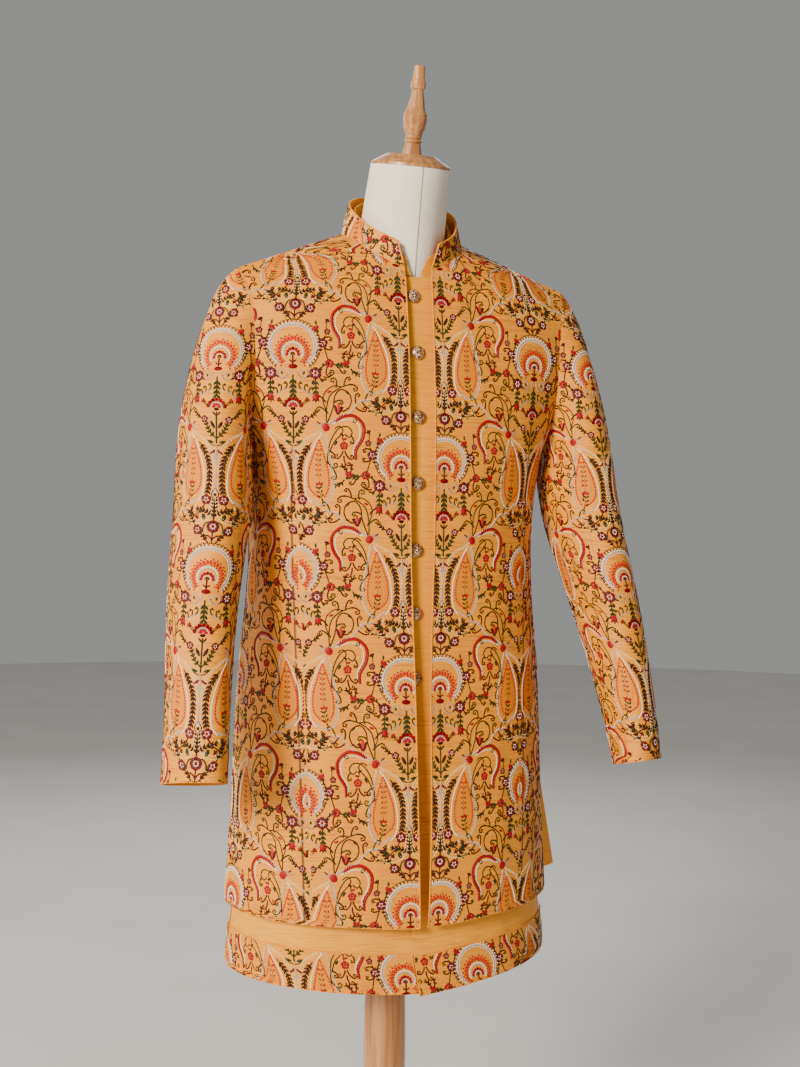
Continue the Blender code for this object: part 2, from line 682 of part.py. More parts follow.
def sleeve_grid():
    """The whole left sleeve as rows from the armhole to the cuff, columns round the arm."""
    start = armhole_ring()
    heights = SLEEVE["height"]
    first = arm_ring(heights[0])
    rise = sleeve_frame(heights[0])[1]
    turn = np.linspace(-math.pi / 2, 1.5 * math.pi, ARM_STEPS + 1)
    high = (1 + np.sin(turn)) / 2
    out_of_seam = np.outer(CAP_OUT[0] + CAP_OUT[1] * high, [1, 0, 0]) + np.outer(CAP_UP * high**2, [0, 0, 1])
    into_arm = np.outer(CAP_RISE[0] + CAP_RISE[1] * high, rise)
    rows = []
    for k in range(CAP_ROWS):
        t = k / CAP_ROWS
        rows.append(
            (1 - t) ** 3 * start
            + 3 * t * (1 - t) ** 2 * (start + out_of_seam)
            + 3 * t * t * (1 - t) * (first + into_arm)
            + t**3 * first
        )
    rows += [arm_ring(height) for height in np.linspace(heights[0], heights[-1], LOWER_ROWS + 1)]
    return np.array(rows)


def sleeve_panels(side, word, material):
    """The top and the under sleeve, a seam gap apart along the front and back seams."""
    whole = sleeve_grid()
    whole[:, :, 0] *= side
    parts = []
    over = whole[:, FRONT_SEAM_STEP : BACK_SEAM_STEP + 1].copy()
    under = np.concatenate([whole[:, BACK_SEAM_STEP:], whole[:, 1 : FRONT_SEAM_STEP + 1]], axis=1).copy()
    for grid, part in ((over, "top"), (under, "under")):
        for edge, inside in ((0, 1), (-1, -2)):
            along = grid[:, inside] - grid[:, edge]
            along /= np.linalg.norm(along, axis=1, keepdims=True)
            grid[:, edge] += along * SEAM_GAP / 2
        middle = np.repeat(whole[:, :-1].mean(axis=1, keepdims=True), grid.shape[1], axis=1)
        parts.append(panel(f"coat_sleeve_{word}_{part}", [grid], COAT_CLOTH, material, middle))
    return parts


def coat_panels(cloth):
    panels = [panel(f"coat_front_{w}", [body_grid(COAT, "front", s)], COAT_CLOTH, cloth) for s, w in SIDES]
    panels.append(panel("coat_back", [body_grid(COAT, "back", s) for s, w in SIDES], COAT_CLOTH, cloth))
    collar = collar_grid(COAT, COAT_COLLAR_TOP, COAT_COLLAR_ROWS)
    panels.append(panel("coat_collar", [collar], COAT_COLLAR_CLOTH, cloth, NECK_MIDDLE))
    for side, word in SIDES:
        panels += sleeve_panels(side, word, cloth)
    sew(panels)
    return panels


def inner_panels(cloth):
    left = body_grid(INNER, "front", 1, sunk=-LAP_RISE)
    right = body_grid(INNER, "front", -1, edge=-INNER_UNDERLAP, sunk=LAP_DEPTH)
    collar = collar_grid(INNER, INNER_COLLAR_TOP, INNER_COLLAR_ROWS, INNER_COLLAR_ENDS)
    panels = [
        panel("inner_front_left", [left], INNER_CLOTH, cloth),
        panel("inner_front_right", [right], INNER_CLOTH, cloth),
        panel("inner_back", [body_grid(INNER, "back", s) for s, w in SIDES], INNER_CLOTH, cloth),
        panel("inner_collar", [collar], INNER_COLLAR_CLOTH, cloth, NECK_MIDDLE),
    ]
    sew(panels)
    return panels


def border_panels(inner, cloth):
    """Bands laid on the inner coat's hem, over its lowest row; the under front's band stops at the lap."""
    bands = []
    lap = inner[0]["sheets"][0][0][:2, :, 0].min(axis=1) - 2 * SEAM_GAP
    for base in inner[:3]:
        sheets = []
        for grid, normals in base["sheets"]:
            grid, normals = grid[:2] + normals[:2] * (SEAM_GAP + BORDER_CLOTH), normals[:2]
            if base["name"] == "inner_front_right":
                edge, beside = (0, 1) if grid[0, 0, 0] > grid[0, -1, 0] else (-1, -2)
                share = (grid[:, edge, 0] - lap) / (grid[:, edge, 0] - grid[:, beside, 0])
                grid[:, edge] += (grid[:, beside] - grid[:, edge]) * share[:, None]
            sheets.append([grid, normals])
        name = base["name"].replace("inner", "border")
        bands.append({"name": name, "sheets": sheets, "cloth": BORDER_CLOTH, "material": cloth})
    return bands


def neck_place():
    return Matrix.Translation(NECK_TOP) @ Matrix.Rotation(NECK_LEAN, 4, "X")


def dress_form(material):
    """One closed body: front and back shells, armhole plates, a foot and a neck that leans forward."""
    bm = bmesh.new()
    for face in ("front", "back"):
        for side in (1, -1):
            grid = body_grid(FORM, face, side, edge=0.0)
            seam = -SEAM_GAP / 2 if face == "back" else SEAM_GAP / 2
            grid[-1, :, 1] += seam
            grid[:, -1, 1] += seam
            rows, columns = grid.shape[:2]
            verts = [[bm.verts.new(grid[i, j]) for j in range(columns)] for i in range(rows)]
            for i in range(rows - 1):
                for j in range(columns - 1):
                    bm.faces.new((verts[i][j], verts[i][j + 1], verts[i + 1][j + 1], verts[i + 1][j]))
    bmesh.ops.remove_doubles(bm, verts=bm.verts, dist=0.0005)
    open_edges = [e for e in bm.edges if e.is_boundary]
    neck_edges = [
        e
        for e in open_edges
        if max(abs(v.co.x) for v in e.verts) < NECK_ZONE["half_width"]
        and min(v.co.z for v in e.verts) > NECK_ZONE["foot"]
    ]
    aim = neck_place()
    edges = neck_edges
    for share in NECK_SHARES:
        moved = bmesh.ops.extrude_edge_only(bm, edges=edges)["geom"]
        for v in (g for g in moved if isinstance(g, bmesh.types.BMVert)):
            flat = aim.inverted() @ v.co
            ring = Vector((flat.x, flat.y, 0)).normalized() * NECK_RADIUS
            v.co = v.co.lerp(aim @ ring, share)
        edges = [g for g in moved if isinstance(g, bmesh.types.BMEdge)]
    bmesh.ops.edgeloop_fill(bm, edges=edges)
    rest = [e for e in bm.edges if e.is_boundary]
    bmesh.ops.holes_fill(bm, edges=rest, sides=0)
    bmesh.ops.triangulate(bm, faces=[f for f in bm.faces if len(f.verts) > 4])
    bmesh.ops.recalc_face_normals(bm, faces=bm.faces)
    return finish_mesh("form_torso", bm, material)


def surface_point(grid, x, height):
    """Point and normal on a front panel at a place across and a height, from the four points around it."""
    for i in range(grid.shape[0] - 1):
        for j in range(grid.shape[1] - 1):
            a, b, c, d = grid[i, j], grid[i, j + 1], grid[i + 1, j], grid[i + 1, j + 1]
            if min(a[0], c[0]) <= x <= max(b[0], d[0]) and min(a[2], b[2]) <= height <= max(c[2], d[2]):
                across = (x - a[0]) / (b[0] - a[0])
                up = (height - a[2]) / (c[2] - a[2])
                place = a + (b - a) * across + (c - a) * up + (a - b - c + d) * across * up
                normal = np.cross(b - a, c - a)
                normal *= -np.sign(normal[1])
                return place, normal / np.linalg.norm(normal)
    raise ValueError("no cloth there")


def buttons(front, material):
    """Domed shank buttons that stand on the inner coat's lapped front."""
    rim = BUTTON_SHANK + BUTTON_RIM
    profile = [
        (SEAM_GAP, BUTTON_SHANK_RADIUS),
        (BUTTON_SHANK, BUTTON_SHANK_RADIUS),
        (BUTTON_SHANK, BUTTON_RADIUS - BUTTON_BEVEL),
        (BUTTON_SHANK + BUTTON_RIM / 2, BUTTON_RADIUS),
        (rim, BUTTON_RADIUS - BUTTON_BEVEL),
    ]
    for turn in (math.radians(36), math.radians(67)):
        profile.append((rim + BUTTON_DOME * math.sin(turn), (BUTTON_RADIUS - 2 * BUTTON_BEVEL) * math.cos(turn)))
    profile.append((rim + BUTTON_DOME, 2 * BUTTON_BEVEL))
    for n, (height, x) in enumerate(zip(BUTTONS["height"], BUTTONS["x"]), 1):
        place, normal = surface_point(front, x, height)
        aim = Vector(normal).to_track_quat("Z", "Y").to_matrix().to_4x4()
        turned(f"button_{n}", profile, material, ROUND_STEPS["button"], Matrix.Translation(Vector(place)) @ aim)


def paint(name, colour, roughness, metallic=0.0):
    made = bpy.data.materials.new(name)
    made.use_nodes = True
    shader = made.node_tree.nodes["Principled BSDF"]
    shader.inputs["Base Color"].default_value = (*colour, 1.0)
    shader.inputs["Roughness"].default_value = roughness
    shader.inputs["Metallic"].default_value = metallic
    made.diffuse_color = (*colour, 1.0)
    return made


def main():
    for old in list(bpy.data.objects):
        bpy.data.objects.remove(old)
    embroidered = paint("embroidered_silk", (0.66, 0.30, 0.055), 0.62)
    plain = paint("raw_silk", (0.62, 0.29, 0.05), 0.5)
    linen = paint("form_cover", (0.78, 0.74, 0.69), 0.85)
    wood = paint("turned_wood", (0.55, 0.33, 0.17), 0.35)
    metal = paint("button_metal", (0.55, 0.45, 0.33), 0.32, 1.0)

    for p in coat_panels(embroidered):
        wall(p)
    inner = inner_panels(plain)
    for p in inner:
        wall(p)
    for p in border_panels(inner, embroidered):
        wall(p)
    buttons(inner[0]["sheets"][0][0], metal)

    dress_form(linen)
    turned("form_neck_cap", NECK_CAP, wood, ROUND_STEPS["neck_cap"], neck_place())
    turned("form_finial", FINIAL, wood, ROUND_STEPS["finial"], neck_place())
    turned("form_post", POST, wood, ROUND_STEPS["post"])
    turned("form_base", BASE, wood, ROUND_STEPS["base"])


main()
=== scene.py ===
import math

import bmesh
import bpy
import numpy as np
from mathutils import Matrix, Vector
from mathutils.bvhtree import BVHTree


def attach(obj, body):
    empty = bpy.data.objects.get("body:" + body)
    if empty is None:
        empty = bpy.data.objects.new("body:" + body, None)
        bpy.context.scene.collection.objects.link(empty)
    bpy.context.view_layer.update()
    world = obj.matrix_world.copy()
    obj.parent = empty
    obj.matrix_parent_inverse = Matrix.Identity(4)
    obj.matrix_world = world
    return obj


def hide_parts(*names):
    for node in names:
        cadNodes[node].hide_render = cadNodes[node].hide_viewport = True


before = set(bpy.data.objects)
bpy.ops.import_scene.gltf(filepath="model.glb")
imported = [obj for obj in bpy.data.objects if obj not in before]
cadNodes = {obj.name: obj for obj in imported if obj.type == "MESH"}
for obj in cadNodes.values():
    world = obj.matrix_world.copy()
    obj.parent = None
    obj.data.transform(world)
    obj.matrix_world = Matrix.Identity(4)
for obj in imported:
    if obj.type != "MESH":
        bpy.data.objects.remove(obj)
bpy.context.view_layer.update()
mm = 0.001


def linear(hexColour):
    parts = [int(hexColour[i:i + 2], 16) / 255 for i in (1, 3, 5)]
    return [c / 12.92 if c <= 0.04045 else ((c + 0.055) / 1.055) ** 2.4 for c in parts] + [1.0]


def addNode(tree, kind, inputs=None, stops=None, **settings):
    node = tree.nodes.new("ShaderNode" + kind)
    for name, value in settings.items():
        setattr(node, name, value)
    for name, value in (inputs or {}).items():
        if isinstance(value, bpy.types.NodeSocket):
            tree.links.new(value, node.inputs[name])
        else:
            node.inputs[name].default_value = value
    if stops:
        for element, (place, colour) in zip(node.color_ramp.elements, stops):
            element.position = place
            element.color = colour
        for place, colour in stops[2:]:
            node.color_ramp.elements.new(place).color = colour
    return node


def newMaterial(name, **inputs):
    material = bpy.data.materials.new(name)
    material.use_nodes = True
    tree = material.node_tree
    tree.nodes.clear()
    shader = addNode(tree, "BsdfPrincipled", {key.replace("_", " "): value for key, value in inputs.items()})
    addNode(tree, "OutputMaterial", {"Surface": shader.outputs[0]})
    return material, tree, shader


def link(tree, source, target):
    tree.links.new(source, target)


camera = {"distance": 1.65, "height": 1.09, "turn": 18.1, "aside": 0.43, "roll": 0.7, "lens": 42.17,
          "sensor": 36}
lights = {  # place, width, watts, colour
    "keyLight": ((-2.9, -2.4, 2.3), 1.2, 275, "#FFF3E2"),
    "fillLight": ((2.9, -1.9, 1.9), 2.4, 3, "#F4F6FF"),
    "backLight": ((0.8, 3.2, 2.7), 2.6, 45, "#FFFFFF"),
    "sideLight": ((-3.1, 1.1, 1.8), 2.0, 34, "#FFFFFF"),
}
room = {"aim": (0, 0, 1.05), "air": "#F3F3F1", "strength": 0.33, "floorRadius": 9, "floorGrain": 3.0}


def makeCamera():
    data = bpy.data.cameras.new("camera")
    data.lens = camera["lens"]
    data.sensor_width = camera["sensor"]
    seen = bpy.data.objects.new("camera", data)
    bpy.context.collection.objects.link(seen)
    bpy.context.scene.camera = seen
    turn = math.radians(camera["turn"])
    place = Vector((-math.sin(turn), -math.cos(turn), 0)) * camera["distance"]
    place.z = camera["height"]
    heading = turn + math.radians(camera["aside"])
    right = Vector((math.cos(heading), -math.sin(heading), 0))
    ahead = Vector((math.sin(heading), math.cos(heading), 0))
    up = Vector((0, 0, 1))
    roll = math.radians(camera["roll"])
    rolledRight = right * math.cos(roll) + up * math.sin(roll)
    rolledUp = up * math.cos(roll) - right * math.sin(roll)
    axes = Matrix((rolledRight, rolledUp, -ahead)).transposed()
    seen.matrix_world = Matrix.Translation(place) @ axes.to_4x4()


def makeStudio():
    middle = Vector(room["aim"])
    for name, (place, width, watts, colour) in lights.items():
        data = bpy.data.lights.new(name, "AREA")
        data.shape = "DISK"
        data.size = width
        data.energy = watts
        data.color = linear(colour)[:3]
        lamp = bpy.data.objects.new(name, data)
        bpy.context.collection.objects.link(lamp)
        lamp.location = place
        lamp.rotation_euler = (middle - Vector(place)).to_track_quat("-Z", "Y").to_euler()
    world = bpy.data.worlds.new("paleRoom")
    bpy.context.scene.world = world
    world.use_nodes = True
    air = world.node_tree.nodes["Background"].inputs
    air["Color"].default_value = linear(room["air"])
    air["Strength"].default_value = room["strength"]
    bm = bmesh.new()
    bmesh.ops.create_circle(bm, cap_ends=True, segments=64, radius=room["floorRadius"])
    floor = meshObject("floor", bm)
    material, tree, shader = newMaterial("paintedFloor", Roughness=0.85)
    where = addNode(tree, "TexCoord").outputs["Object"]
    grain = addNode(tree, "TexNoise", {"Vector": where, "Scale": room["floorGrain"]})
    tone = addNode(tree, "ValToRGB", {"Fac": grain.outputs["Fac"]},
                   stops=[(0.3, linear("#DCDAD5")), (0.7, linear("#E2E0DC"))])
    link(tree, tone.outputs["Color"], shader.inputs["Base Color"])
    floor.data.materials.append(material)


def meshObject(name, bm):
    mesh = bpy.data.meshes.new(name)
    bm.to_mesh(mesh)
    bm.free()
    made = bpy.data.objects.new(name, mesh)
    bpy.context.collection.objects.link(made)
    return made


def finishedPiece(name, mesh, materials, slotName):
    # A piece of the object: it rides on the root, and its place is in its mesh.
    mesh.materials.clear()
    for material in materials:
        mesh.materials.append(material)
    made = bpy.data.objects.new(name, mesh)
    bpy.context.collection.objects.link(made)
    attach(made, "root")
    return made


def bakedMesh(rough, name):
    # The mesh of an object with its modifiers or its curve applied. The object itself is removed.
    bpy.context.view_layer.update()
    mesh = bpy.data.meshes.new_from_object(rough.evaluated_get(bpy.context.evaluated_depsgraph_get()))
    mesh.name = name
    bpy.data.objects.remove(rough)
    return mesh


def lengthsAlong(points):
    return np.concatenate([[0], np.cumsum(np.linalg.norm(np.diff(points, axis=0), axis=1))])


# Raw silk, hand-loomed: uneven weft threads show as fine level lines, and the surface glows softly.
silks = {
    "coatSilk": {"light": "#F3A712", "ground": "#E58E05", "dark": "#A25403"},
    "innerSilk": {"light": "#F8B61E", "ground": "#EA9A0A", "dark": "#B86C06"},
}
# The threads are drawn three times as wide as they are, so that they show.
weave = {"weft": 1.35 * mm, "length": 30 * mm, "mottle": 70 * mm, "warp": 1.1 * mm, "warpPerMetre": 18.0,
         "slub": 2.0 * mm, "slubsPerMetre": 14.0, "slubDarkness": 0.5, "relief": 0.5 * mm,
         "sheen": 0.10, "specular": 0.35, "roughness": (0.48, 0.64)}
folds = {"width": 85 * mm, "length": 240 * mm, "depth": 9 * mm}


def silkMaterial(name, dart=None):
    look = silks[name.split("_")[0]]
    material, tree, shader = newMaterial(name)
    shader.inputs["Sheen Weight"].default_value = weave["sheen"]
    shader.inputs["Sheen Roughness"].default_value = 0.4
    shader.inputs["Specular IOR Level"].default_value = weave["specular"]
    where = addNode(tree, "TexCoord").outputs["Object"]
    along = 1 / weave["length"]
    weftPlace = addNode(tree, "Mapping", {"Vector": where, "Scale": (along, along, 1 / weave["weft"])})
    weft = addNode(tree, "TexNoise", {"Vector": weftPlace.outputs[0], "Scale": 1.0, "Detail": 3.0,
                                      "Roughness": 0.6})
    along = 1 / weave["warp"]
    warpPlace = addNode(tree, "Mapping", {"Vector": where, "Scale": (along, along, weave["warpPerMetre"])})
    warp = addNode(tree, "TexNoise", {"Vector": warpPlace.outputs[0], "Scale": 1.0, "Detail": 1.0})
    mottle = addNode(tree, "TexNoise", {"Vector": where, "Scale": 1 / weave["mottle"], "Detail": 2.0})
    threads = addNode(tree, "ValToRGB", {"Fac": weft.outputs["Fac"]}, stops=[
        (0.33, linear(look["dark"])), (0.45, linear(look["ground"])), (0.70, linear(look["light"]))])
    toned = addNode(tree, "Mix", data_type="RGBA", inputs={
        0: mottle.outputs["Fac"], 6: threads.outputs["Color"], 7: linear(look["ground"])})
    colour = toned.outputs[2]
    # A few thick weft threads run dark across the cloth, some centimetres apart.
    along = weave["slubsPerMetre"]
    slubPlace = addNode(tree, "Mapping", {"Vector": where, "Scale": (along, along, 1 / weave["slub"])})
    slub = addNode(tree, "TexNoise", {"Vector": slubPlace.outputs[0], "Scale": 1.0, "Detail": 1.0})
    knots = addNode(tree, "ValToRGB", {"Fac": slub.outputs["Fac"]}, stops=[
        (0.25, [weave["slubDarkness"]] * 3 + [1]), (0.32, (0, 0, 0, 1))])
    slubbed = addNode(tree, "Mix", data_type="RGBA", inputs={
        0: knots.outputs["Color"], 6: colour, 7: linear(look["dark"])})
    colour = slubbed.outputs[2]
    height = addNode(tree, "Math", {0: weft.outputs["Fac"], 1: 0.55}, operation="MULTIPLY")
    height = addNode(tree, "Math", {0: warp.outputs["Fac"], 1: 0.3, 2: height.outputs[0]},
                     operation="MULTIPLY_ADD")
    if dart:
        # The long dart: a crease from below the chest to the hem, drawn as a dip in the bump and as painted
        # shade that darkens the cloth's colour along it.
        axes = addNode(tree, "SeparateXYZ", {0: where})
        aside = addNode(tree, "Math", {0: axes.outputs["X"]}, operation="ABSOLUTE")
        line = addNode(tree, "Math", {0: axes.outputs["Z"], 1: dart["lean"], 2: dart["foot"]},
                       operation="MULTIPLY_ADD")
        apart = addNode(tree, "Math", {0: aside.outputs[0], 1: line.outputs[0]}, operation="SUBTRACT")
        apart = addNode(tree, "Math", {0: apart.outputs[0]}, operation="ABSOLUTE")
        crease = addNode(tree, "MapRange", {"Value": apart.outputs[0], "From Max": dart["halfWidth"],
                                            "To Min": 1.0, "To Max": 0.0}, interpolation_type="SMOOTHSTEP")
        below = addNode(tree, "MapRange", {"Value": axes.outputs["Z"], "From Min": dart["top"],
                                           "From Max": dart["top"] - dart["start"]})
        crease = addNode(tree, "Math", {0: crease.outputs[0], 1: below.outputs[0]}, operation="MULTIPLY")
        creaseShaded = addNode(tree, "Mix", data_type="RGBA", inputs={
            0: crease.outputs[0], 6: colour, 7: linear(dart["shade"])})
        colour = creaseShaded.outputs[2]
        height = addNode(tree, "Math", {0: crease.outputs[0], 1: dart["depth"], 2: height.outputs[0]},
                         operation="MULTIPLY_ADD")
    # Soft hanging folds, longer than they are wide, that only bend the light.
    along = 1 / folds["width"]
    foldPlace = addNode(tree, "Mapping", {"Vector": where, "Scale": (along, along, 1 / folds["length"])})
    fold = addNode(tree, "TexNoise", {"Vector": foldPlace.outputs[0], "Scale": 1.0, "Detail": 1.0,
                                      "Distortion": 0.4})
    swell = addNode(tree, "Bump", {"Height": fold.outputs["Fac"], "Strength": 1.0,
                                   "Distance": folds["depth"]})
    bump = addNode(tree, "Bump", {"Height": height.outputs[0], "Strength": 0.35, "Distance": weave["relief"],
                                  "Normal": swell.outputs[0]})
    link(tree, colour, shader.inputs["Base Color"])
    link(tree, bump.outputs[0], shader.inputs["Normal"])
    least, most = weave["roughness"]
    rough = addNode(tree, "MapRange", {"Value": weft.outputs["Fac"], "To Min": least, "To Max": most})
    link(tree, rough.outputs[0], shader.inputs["Roughness"])
    return material


# Embroidery silk, loosely twisted: saturated colour with a soft gloss along each stitch.
threadColours = {
    "crimson": "#98000C", "maroon": "#48050A", "plum": "#5E0816", "silver": "#E9DAC8", "cream": "#E3BF74",
    "olive": "#2A3008", "brown": "#321402", "orange": "#C02400", "peach": "#D98307", "lilac": "#B2937F",
    "pink": "#CC2338", "gold": "#A8640F",
}
threadNames = list(threadColours)
strand = {"twist": 0.9 * mm, "relief": 0.3 * mm, "specular": 0.22}


def threadMaterial(colourName):
    material, tree, shader = newMaterial("silkThread_" + colourName, Roughness=0.55)
    shader.inputs["Base Color"].default_value = linear(threadColours[colourName])
    shader.inputs["Specular IOR Level"].default_value = strand["specular"]
    where = addNode(tree, "TexCoord").outputs["Object"]
    twist = addNode(tree, "TexNoise", {"Vector": where, "Scale": 1 / strand["twist"], "Detail": 1.0})
    bump = addNode(tree, "Bump", {"Height": twist.outputs["Fac"], "Strength": 0.5,
                                  "Distance": strand["relief"]})
    link(tree, bump.outputs[0], shader.inputs["Normal"])
    return material


jerseyLook = {"dark": "#E6DCC8", "light": "#F2ECDD", "knit": 14 * mm, "relief": 0.3 * mm, "cloud": 14.0,
              "seam": "#8C8478", "seamEdge": (0.5 * mm, 1.1 * mm)}


def jerseyMaterial():
    # Cotton jersey, stretched over padding: matt ivory with a fine knit.
    material, tree, shader = newMaterial("cottonJersey", Roughness=0.85)
    where = addNode(tree, "TexCoord").outputs["Object"]
    knit = addNode(tree, "TexWave", {"Vector": where, "Scale": 1 / jerseyLook["knit"], "Distortion": 1.5,
                                     "Detail": 2.0})
    cloud = addNode(tree, "TexNoise", {"Vector": where, "Scale": jerseyLook["cloud"], "Detail": 3.0})
    tone = addNode(tree, "ValToRGB", {"Fac": cloud.outputs["Fac"]}, stops=[
        (0.3, linear(jerseyLook["dark"])), (0.7, linear(jerseyLook["light"]))])
    bump = addNode(tree, "Bump", {"Height": knit.outputs["Fac"], "Strength": 0.25,
                                  "Distance": jerseyLook["relief"]})
    # The cover's centre seam: a thin grey line down the front of the neck.
    axes = addNode(tree, "SeparateXYZ", {0: where})
    aside = addNode(tree, "Math", {0: axes.outputs["X"]}, operation="ABSOLUTE")
    near, far = jerseyLook["seamEdge"]
    seam = addNode(tree, "MapRange", {"Value": aside.outputs[0], "From Min": near, "From Max": far,
                                      "To Min": 1.0, "To Max": 0.0})
    seamed = addNode(tree, "Mix", data_type="RGBA", inputs={
        0: seam.outputs[0], 6: tone.outputs["Color"], 7: linear(jerseyLook["seam"])})
    link(tree, seamed.outputs[2], shader.inputs["Base Color"])
    link(tree, bump.outputs[0], shader.inputs["Normal"])
    return material


# Grain lines for each metre along x, y and z: the post's run up it, and the base's run across its board.
woodLook = {"tones": ("#93592A", "#B47A42", "#C8935A"), "coat": 0.35, "coatRoughness": 0.2,
            "relief": 0.3 * mm,
            "grain": {"turnedBeech": (150.0, 150.0, 6.0), "turnedBeech_board": (5.0, 110.0, 110.0)}}


def woodMaterial(name):
    # Beech, turned and lacquered: pale tan with long grain lines under a clear gloss.
    material, tree, shader = newMaterial(name, Roughness=0.38)
    shader.inputs["Coat Weight"].default_value = woodLook["coat"]
    shader.inputs["Coat Roughness"].default_value = woodLook["coatRoughness"]
    where = addNode(tree, "TexCoord").outputs["Object"]
    grainPlace = addNode(tree, "Mapping", {"Vector": where, "Scale": woodLook["grain"][name]})
    grain = addNode(tree, "TexNoise", {"Vector": grainPlace.outputs[0], "Scale": 1.0, "Detail": 4.0})
    tone = addNode(tree, "ValToRGB", {"Fac": grain.outputs["Fac"]},
                   stops=list(zip((0.32, 0.5, 0.7), map(linear, woodLook["tones"]))))
    bump = addNode(tree, "Bump", {"Height": grain.outputs["Fac"], "Strength": 0.08,
                                  "Distance": woodLook["relief"]})
    link(tree, tone.outputs["Color"], shader.inputs["Base Color"])
    link(tree, bump.outputs[0], shader.inputs["Normal"])
    return material


castLook = {"tones": ("#4E3018", "#B9946E", "#EAD6B8"), "stain": 420.0, "relief": 0.2 * mm}


def castMaterial():
    # Cast zinc alloy with an antique gold wash: dull metal, darker where the polish missed.
    material, tree, shader = newMaterial("antiquedCasting", Metallic=0.9, Roughness=0.4)
    where = addNode(tree, "TexCoord").outputs["Object"]
    stain = addNode(tree, "TexNoise", {"Vector": where, "Scale": castLook["stain"], "Detail": 3.0})
    tone = addNode(tree, "ValToRGB", {"Fac": stain.outputs["Fac"]},
                   stops=list(zip((0.35, 0.5, 0.7), map(linear, castLook["tones"]))))
    bump = addNode(tree, "Bump", {"Height": stain.outputs["Fac"], "Strength": 0.3,
                                  "Distance": castLook["relief"]})
    link(tree, tone.outputs["Color"], shader.inputs["Base Color"])
    link(tree, bump.outputs[0], shader.inputs["Normal"])
    return material


# An edge that turns more than the corner's angle stays sharp.
copying = {"weld": 0.02 * mm, "joinAngle": math.radians(60), "clothCorner": 50, "turnedCorner": 28}


def smoothCopy(nodeName, name, material, levels, slotName, corner=copying["clothCorner"]):
    # A finer copy of a node, with its sharp edges kept.
    bm = bmesh.new()
    bm.from_mesh(cadNodes[nodeName].data)
    bmesh.ops.remove_doubles(bm, verts=bm.verts, dist=copying["weld"])
    bmesh.ops.join_triangles(bm, faces=bm.faces, angle_face_threshold=copying["joinAngle"],
                             angle_shape_threshold=math.pi)
    crease = bm.edges.layers.float.new("crease_edge")
    for face in bm.faces:
        face.smooth = True
        face.material_index = 0
    for edge in bm.edges:
        if len(edge.link_faces) == 2 and edge.calc_face_angle() > math.radians(corner):
            edge[crease] = 1.0
            edge.smooth = False
    rough = meshObject(name + "_rough", bm)
    finer = rough.modifiers.new("finer", "SUBSURF")
    finer.levels = finer.render_levels = levels
    made = finishedPiece(name, bakedMesh(rough, name), [material], slotName)
    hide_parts(nodeName)
    return made


# How finely places are found on the cloth, in metres and degrees.
chartLook = {"rowStep": 0.012, "angleStep": 2.0, "reach": 0.6, "turns": 3, "halvings": 8, "frontHalf": 80,
             "edgeAbove": 0.03, "edgeJump": 4, "skirtTop": 0.9, "skirtFacing": 0.35, "flapTurn": -0.3}


